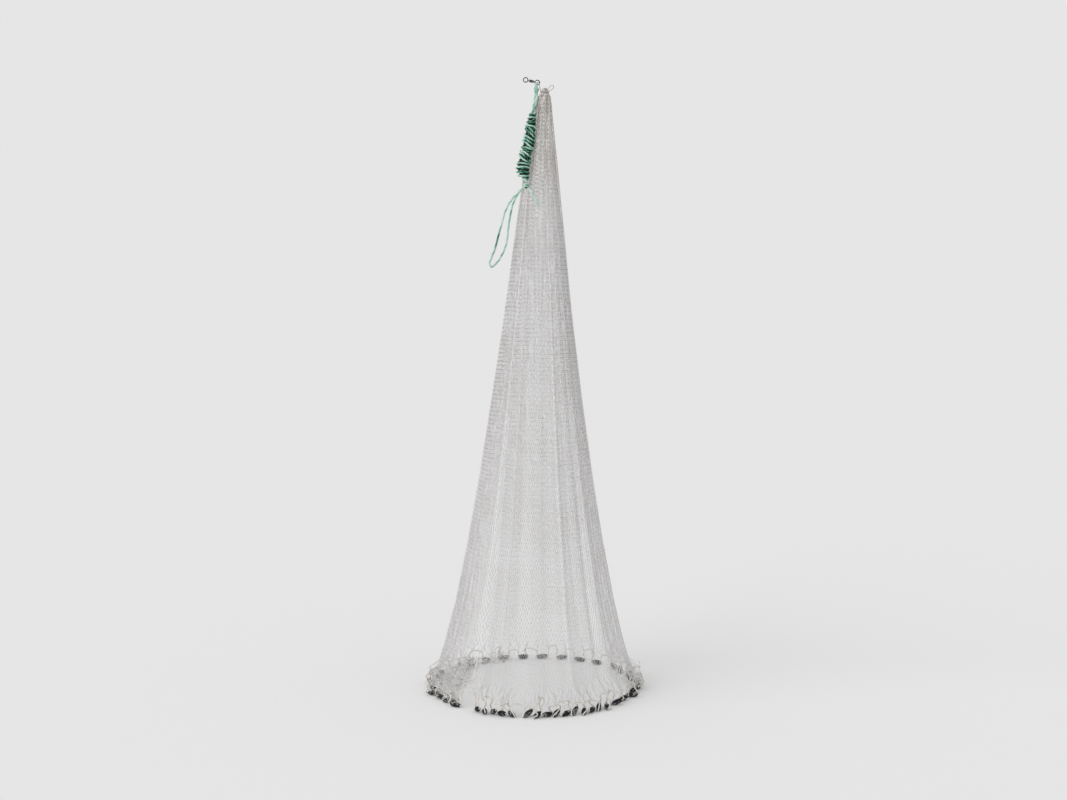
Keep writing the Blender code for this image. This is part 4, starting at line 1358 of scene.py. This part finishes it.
@dataclass
class WoundBody:
    """A bowed axis with a half width along it, on which turns of rope are laid."""

    sections: tuple
    flatness: float
    side_shade: float = 0.22
    edge: float = 0.003

    def __post_init__(self) -> None:
        """Works out the axis's directions and lengths."""
        table = np.array(self.sections) * MM
        self.stops, self.widths = table[:, :3], table[:, 3]
        self.axis = unit(self.stops[-1] - self.stops[0])
        self.side = unit(np.array([1.0, 0.0, 0.0]) - self.axis * self.axis[0])
        self.front = np.cross(self.axis, self.side)
        self.lengths = (self.stops - self.stops[0]) @ self.axis
        self.length = float(self.lengths[-1])

    def width_at(self, share: Vec) -> Vec:
        """Half the body's width at a share of its length."""
        return np.interp(share * self.length, self.lengths, self.widths)

    def points(self, share: Vec, angle: Vec, reach: Vec, tilt: Vec = 0.0) -> Vec:
        """Points about the axis.

        Args:
            share: The share of the length, 0 at the top.
            angle: The angle round the axis, 0 at the right and a quarter turn at the front.
            reach: The distance from the axis.
            tilt: How far a turn's right side hangs lower than its middle.

        Returns:
            The points.
        """
        across, front = reach * np.cos(angle), self.flatness * reach * np.sin(angle)
        offset = self.side * across[:, None] + self.front * front[:, None]
        offset = offset + self.axis * (tilt * np.cos(angle))[:, None]
        return points_at(share * self.length, self.lengths, self.stops) + offset

    def depth(self, points: Vec, deep: float) -> Vec:
        """How far points lie below the winding's outer face, for painted shade: 1 at this depth, and a little
        more at the right, as painted shade for light from the left.
        """
        along = (points - self.stops[0]) @ self.axis
        offset = points - points_at(along, self.lengths, self.stops)
        width = np.interp(along, self.lengths, self.widths)
        depth = (width - np.hypot(offset @ self.side, offset @ self.front / self.flatness)) / deep
        depth = np.clip(depth + self.side_shade * (offset @ self.side) / width, 0, 1)
        return depth * window(along, -self.edge, self.edge, self.length + self.edge, self.edge)


@dataclass
class HandLine:
    """The hand line: a hitch on the tied eye, a lead, the wound hank, a knot, the hand loop and the tail."""

    radius: float = 0.0024
    step: float = 0.0014
    lead_route: tuple = (
        (-32.8, -0.8, -8.0), (-33.6, -2.8, -3.4), (-35.3, -4.1, 0.0), (-36.4, -4.0, 2.9), (-35.0, -2.8, 5.2),
        (-34.2, 0.0, 6.1), (-35.0, 2.8, 5.2), (-36.4, 4.0, 2.9), (-37.0, 3.8, -1.0), (-37.0, 2.2, -6.0),
        (-37.0, 0.4, -11.0), (-37.6, -1.2, -16.6), (-38.8, -4.0, -23.0), (-40.0, -9.0, -33.0),
        (-42.0, -15.5, -45.0), (-44.2, -22.0, -56.5),
    )
    hitch: tuple = (
        (-34.2, 0.0, -0.9, 2.6), (-34.4, 0.0, -2.6, 5.6), (-35.2, 0.0, -7.5, 6.4), (-36.0, -0.2, -12.5, 5.4),
        (-36.8, -0.4, -15.8, 3.0),
    )
    hank: tuple = (
        (-45.2, -25.0, -62.6, 6.6), (-45.4, -25.3, -65.6, 10.6), (-45.9, -25.6, -74.0, 11.4),
        (-47.6, -26.5, -93.0, 13.0), (-52.2, -29.5, -124.5, 15.6), (-57.4, -33.0, -151.5, 15.6),
        (-61.0, -34.6, -165.0, 15.4), (-65.4, -36.0, -176.0, 16.2), (-66.4, -37.6, -187.5, 16.8),
        (-64.6, -39.6, -199.0, 15.6), (-61.6, -41.6, -210.0, 11.0), (-59.2, -43.2, -219.6, 5.0),
    )
    knot: tuple = (
        (-58.9, -43.6, -220.9, 3.8), (-58.7, -44.0, -222.8, 6.4), (-58.3, -44.6, -227.2, 7.4),
        (-58.0, -45.1, -231.2, 6.2), (-57.9, -45.4, -233.4, 3.4),
    )
    hand_loop: tuple = (
        (-63.6, -49.8, -230.2), (-71.4, -54.0, -237.6), (-80.5, -57.0, -247.4), (-89.6, -59.0, -257.4),
        (-99.4, -60.5, -272.6), (-107.4, -61.5, -291.6), (-112.2, -62.0, -309.8), (-118.0, -62.0, -330.0),
        (-123.4, -61.5, -350.5), (-129.2, -60.0, -371.0), (-136.4, -57.5, -388.4), (-140.6, -54.5, -400.2),
        (-136.8, -50.6, -408.6), (-128.0, -48.0, -402.6), (-117.6, -46.4, -389.6), (-107.9, -45.2, -370.6),
        (-101.9, -44.6, -350.5), (-99.4, -44.4, -330.0), (-97.4, -44.4, -312.0), (-94.2, -44.6, -294.0),
        (-90.4, -45.0, -275.4), (-84.6, -45.4, -259.4), (-76.0, -45.8, -244.0), (-65.6, -46.0, -233.2),
    )
    beside: tuple = ((3.5, -1.0, 0.0), (5.2, -0.6, 0.0), (5.4, 0.2, 0.0), (4.8, 0.6, 0.0), (3.8, 1.0, -3.0))
    tail: tuple = (
        (-54.4, -49.2, -232.4), (-48.0, -52.0, -241.0), (-41.6, -52.6, -249.6), (-35.2, -52.6, -260.6),
        (-32.2, -52.6, -273.2),
    )
    base: tuple = (28.0, 0.022, 0.962, 0.0030, 12, 0.41)
    over: tuple = (17.0, 0.972, -0.942, 0.0150, 15, 0.31)
    layer_gap: float = 0.0036
    core: tuple = (0.16, 0.985)
    core_reach: float = 0.0022
    base_tilts: tuple = ((0, -2.0), (0.12, -1.2), (0.3, 0.0), (0.8, 0.0), (0.88, 1.2), (1.0, 3.0))
    over_tilts: tuple = (
        (0.0, -2.0), (0.07, -2.4), (0.15, -2.0), (0.20, 1.0), (0.25, 7.5), (0.29, 9.5), (0.33, 5.0),
        (0.42, 7.0),
        (0.47, 6.6), (0.51, 3.0), (0.545, -2.0), (0.58, 4.0), (0.62, 11.5), (0.665, 13.0), (0.70, 1.5),
        (0.76, -2.2), (0.84, -2.6), (0.92, -1.0), (1.0, 1.0),
    )
    per_turn: int = 24
    least_reach: float = 0.0050
    ease_reach: int = 5
    ease_length: float = 0.010
    tucked: float = 0.35

    def sweep(self) -> Sweep:
        """The rope's surface: three strands, their lay about three and a half diameters long."""
        return Sweep(self.radius, sides=12, lay=Lay.THREE_STRAND, lay_length=0.0195, valley=0.20)

    def cover(self, share: Vec) -> Vec:
        """1 where a second layer of turns lies over the first, 0 at the hank's ends."""
        return window(share, 0.01, 0.03, 0.99, 0.06)

    @staticmethod
    def wobble(turns: Vec, salt: float) -> Vec:
        """A smooth uneven number from -1 to 1 that changes twice a turn."""
        last = int(turns[-1] * 2) + 2
        return np.interp(turns * 2, np.arange(last + 1), [uneven(k, salt) for k in range(last + 1)])

    def layer(
        self, count: float, first: float, run: float, swing: float, fade: float, salt: float
    ) -> tuple[Vec, Vec]:
        """The turns at each point of a layer, and the share of the hank's length there.

        Args:
            count: How many turns the layer has.
            first: The share of the length at which it starts.
            run: The share of the length that it covers, below 0 when it runs up.
            swing: How unevenly the turns lie. They lie evenly at both ends.
            fade: How soon the swing grows from the ends.
            salt: Sets which of them lie high and which low.

        Returns:
            The turns and the shares.
        """
        turns = np.linspace(0, count, int(count * self.per_turn) + 1)
        t = turns / count
        swing = swing * self.wobble(turns, salt) * smooth_step(t * fade) * smooth_step((1 - t) * fade)
        return turns, first + run * t + swing

    def base_layer(self, body: WoundBody) -> Vec:
        """Close turns from the hank's top to its bottom."""
        turns, share = self.layer(*self.base)
        reach = body.width_at(share) - self.radius - self.layer_gap * self.cover(share)
        reach = np.maximum(reach, self.least_reach) + 0.0007 * self.wobble(turns, 0.2)
        tilt = np.interp(share, *zip(*self.base_tilts)) * MM
        return body.points(share, 0.5 * math.pi + TURN * turns, reach, tilt)

    def over_layer(self, body: WoundBody) -> Vec:
        """Open turns back up over the first layer, which slant in bands along the hank."""
        turns, share = self.layer(*self.over)
        reach = body.width_at(np.clip(share, 0.02, 0.985)) - self.radius
        reach = np.maximum(reach, self.least_reach) + 0.0009 * self.wobble(turns, 0.65)
        tilt = np.interp(share, *zip(*self.over_tilts)) * MM + 0.0024 * self.wobble(turns, 0.77)
        return body.points(share, 0.5 * math.pi + TURN * turns, reach, tilt)

    def core_run(self, body: WoundBody) -> Vec:
        """The stretch of rope inside the turns, down to the knot."""
        share = np.linspace(*self.core, 14)
        return body.points(share, np.full(14, 1.5 * math.pi), np.full(14, self.core_reach))

    def second_leg(self) -> Vec:
        """The line's other leg, from the hitch down beside the lead into the hank."""
        return smooth_route(np.array(self.lead_route[11:]) * MM + np.array(self.beside) * MM, 8)

    @staticmethod
    def linked(parts: list[Vec]) -> Vec:
        """One route from several, each joined to the next by a smooth curve."""
        route = [parts[0]]
        t = np.linspace(0, 1, 16)[1:-1, None]
        for before, after in zip(parts, parts[1:]):
            pull = 1.25 * np.linalg.norm(after[0] - before[-1])
            out, into = unit(before[-1] - before[-2]) * pull, unit(after[1] - after[0]) * pull
            route += [hermite(t, before[-1], out, after[0], into), after]
        return np.vstack(route)

    def eased(self, route: Vec, free: float) -> Vec:
        """The route with its tight corners rounded, except in a free stretch at its start."""
        reach = self.ease_reach
        kernel = np.exp(-0.5 * (np.arange(-reach, reach + 1) / (reach / 3)) ** 2)
        padded = np.pad(route, ((reach, reach), (0, 0)), mode="edge")
        kernel /= kernel.sum()
        smooth = np.stack([np.convolve(row, kernel, mode="valid") for row in padded.T], axis=1)
        along = self.step * np.arange(len(route))
        weight = window(along, free, self.ease_length, along[-1], self.ease_length)
        return route + (smooth - route) * weight[:, None]

    def line_route(self, body: WoundBody) -> Vec:
        """The line from the eye to the hank's lower end."""
        lead = smooth_route(np.array(self.lead_route) * MM, 8)
        parts = [lead, self.base_layer(body), self.over_layer(body), self.core_run(body)]
        return self.eased(spaced(self.linked(parts), self.step), route_length(lead))

    def turns_route(self, body: WoundBody, turns: float, tilt: float, start: float) -> Vec:
        """Tight turns of a knot round its own axis."""
        t = np.linspace(0, 1, int(turns * self.per_turn) + 1)
        share = 0.20 + 0.60 * t
        reach = body.width_at(share) - self.radius
        reach = reach * np.interp(t, [0, 0.06, 0.94, 1], [self.tucked, 1, 1, self.tucked])
        return body.points(share, start + TURN * turns * t, reach, np.full(len(t), tilt))

    def laid(self, name: str, route: Vec, body: WoundBody | None, deep: float, *nodes: str) -> Piece:
        """Makes one piece of rope.

        Args:
            name: The piece's name.
            route: Its centreline.
            body: What it is wound on, if anything. The depth of its turns is then stored for the finish as
                painted shade.
            deep: The depth at which the shade between the turns is full.
            nodes: The solids that it stands for.

        Returns:
            The piece.
        """
        piece = add_piece(name, self.sweep().mesh(name, route), ROPE)
        if body:
            stored = piece.data.attributes.new("shade", "FLOAT", "POINT")
            stored.data.foreach_set("value", body.depth(vertices_of(piece.data), deep).astype(np.float32))
        settle(piece, NET_BODY, "green_rope", *nodes)
        return piece

    def build(self) -> None:
        """Makes the whole hand line."""
        hank, hitch_body = WoundBody(self.hank, 0.80), WoundBody(self.hitch, 0.9)
        knot_body = WoundBody(self.knot, 0.9)
        line_route = self.line_route(hank)
        line = self.laid("hand_line", line_route, hank, 0.0056, "rope_lead", "rope_hank")
        route = np.vstack([self.turns_route(hitch_body, 2.6, 0.0008, 0.3), self.second_leg()])
        hitch = self.laid("hitch_turns", spaced(route, self.step), hitch_body, 0.0200)
        route = spaced(self.turns_route(knot_body, 1.9, 0.0012, -0.6), self.step)
        knot = self.laid("hand_line_knot", route, knot_body, 0.0040, "rope_knot")
        loop_route = spaced(smooth_route(np.array(self.hand_loop) * MM, 8), self.step)
        loop = self.laid("hand_loop", loop_route, None, 0.0, "rope_hand_loop")
        tail_route = spaced(smooth_route(np.array(self.tail) * MM, 8), self.step)
        tail = self.laid("hand_line_tail", tail_route, None, 0.0, "rope_tail")


# ---- the studio


@dataclass
class Studio:
    """A pale floor, even soft light and the camera."""

    camera_place: tuple = (-0.042, -3.2, -0.444)
    camera_drop: float = 4.8
    focal_pixels: float = 1395.0
    image_width: float = 1067.0
    sensor: float = 36.0
    sky: float = 0.79
    sun: float = 1.25
    sun_turn: tuple = (64.5, 0.0, -56.7)
    sun_width: float = 55.0
    floor_half: float = 400.0

    @staticmethod
    def stand(name: str, data: bpy.types.ID, turn: tuple, place: tuple = (0.0, 0.0, 0.0)) -> Piece:
        """Stands a lamp or a camera in the scene, turned by these degrees."""
        made = bpy.data.objects.new(name, data)
        made.location, made.rotation_euler = place, tuple(map(math.radians, turn))
        bpy.context.scene.collection.objects.link(made)
        return made

    def build(self) -> None:
        """Makes the floor, the lights and the camera."""
        half, scene = self.floor_half, bpy.context.scene
        corners = [(x * half, y * half, FLOOR_Z) for x, y in ((-1, -1), (1, -1), (1, 1), (-1, 1))]
        floor = add_piece("studio_floor", plain_mesh("studio_floor", np.array(corners), [(0, 1, 2, 3)]), FLOOR)
        scene.world = bpy.data.worlds.new("Studio")
        scene.world.use_nodes = True
        background = scene.world.node_tree.nodes["Background"]
        background.inputs["Color"].default_value = (self.sky, self.sky, self.sky, 1.0)
        light = bpy.data.lights.new("Soft key", "SUN")
        light.energy, light.angle = self.sun, math.radians(self.sun_width)
        self.stand("Soft key", light, self.sun_turn)
        camera = bpy.data.cameras.new("Camera")
        camera.sensor_width, camera.clip_end = self.sensor, 2000.0
        camera.lens = self.sensor * self.focal_pixels / self.image_width
        scene.camera = self.stand("Camera", camera, (90 - self.camera_drop, 0.0, 0.0), self.camera_place)
        scene.view_settings.view_transform = "Standard"
        LOG.info("studio: floor, world, one sun and the camera")


def main() -> None:
    """Builds the studio and every sub-assembly."""
    logging.basicConfig(level=logging.INFO, format="%(name)s: %(message)s")
    form = NetForm()
    hem = HemLine(form)
    for part in (Studio(), HandLine(), Swivel(), Crown(), hem, Netting(form, hem)):
        part.build()
        LOG.info("%s is built", type(part).__name__)
    bpy.context.view_layer.update()


if __name__ == "__main__":
    main()
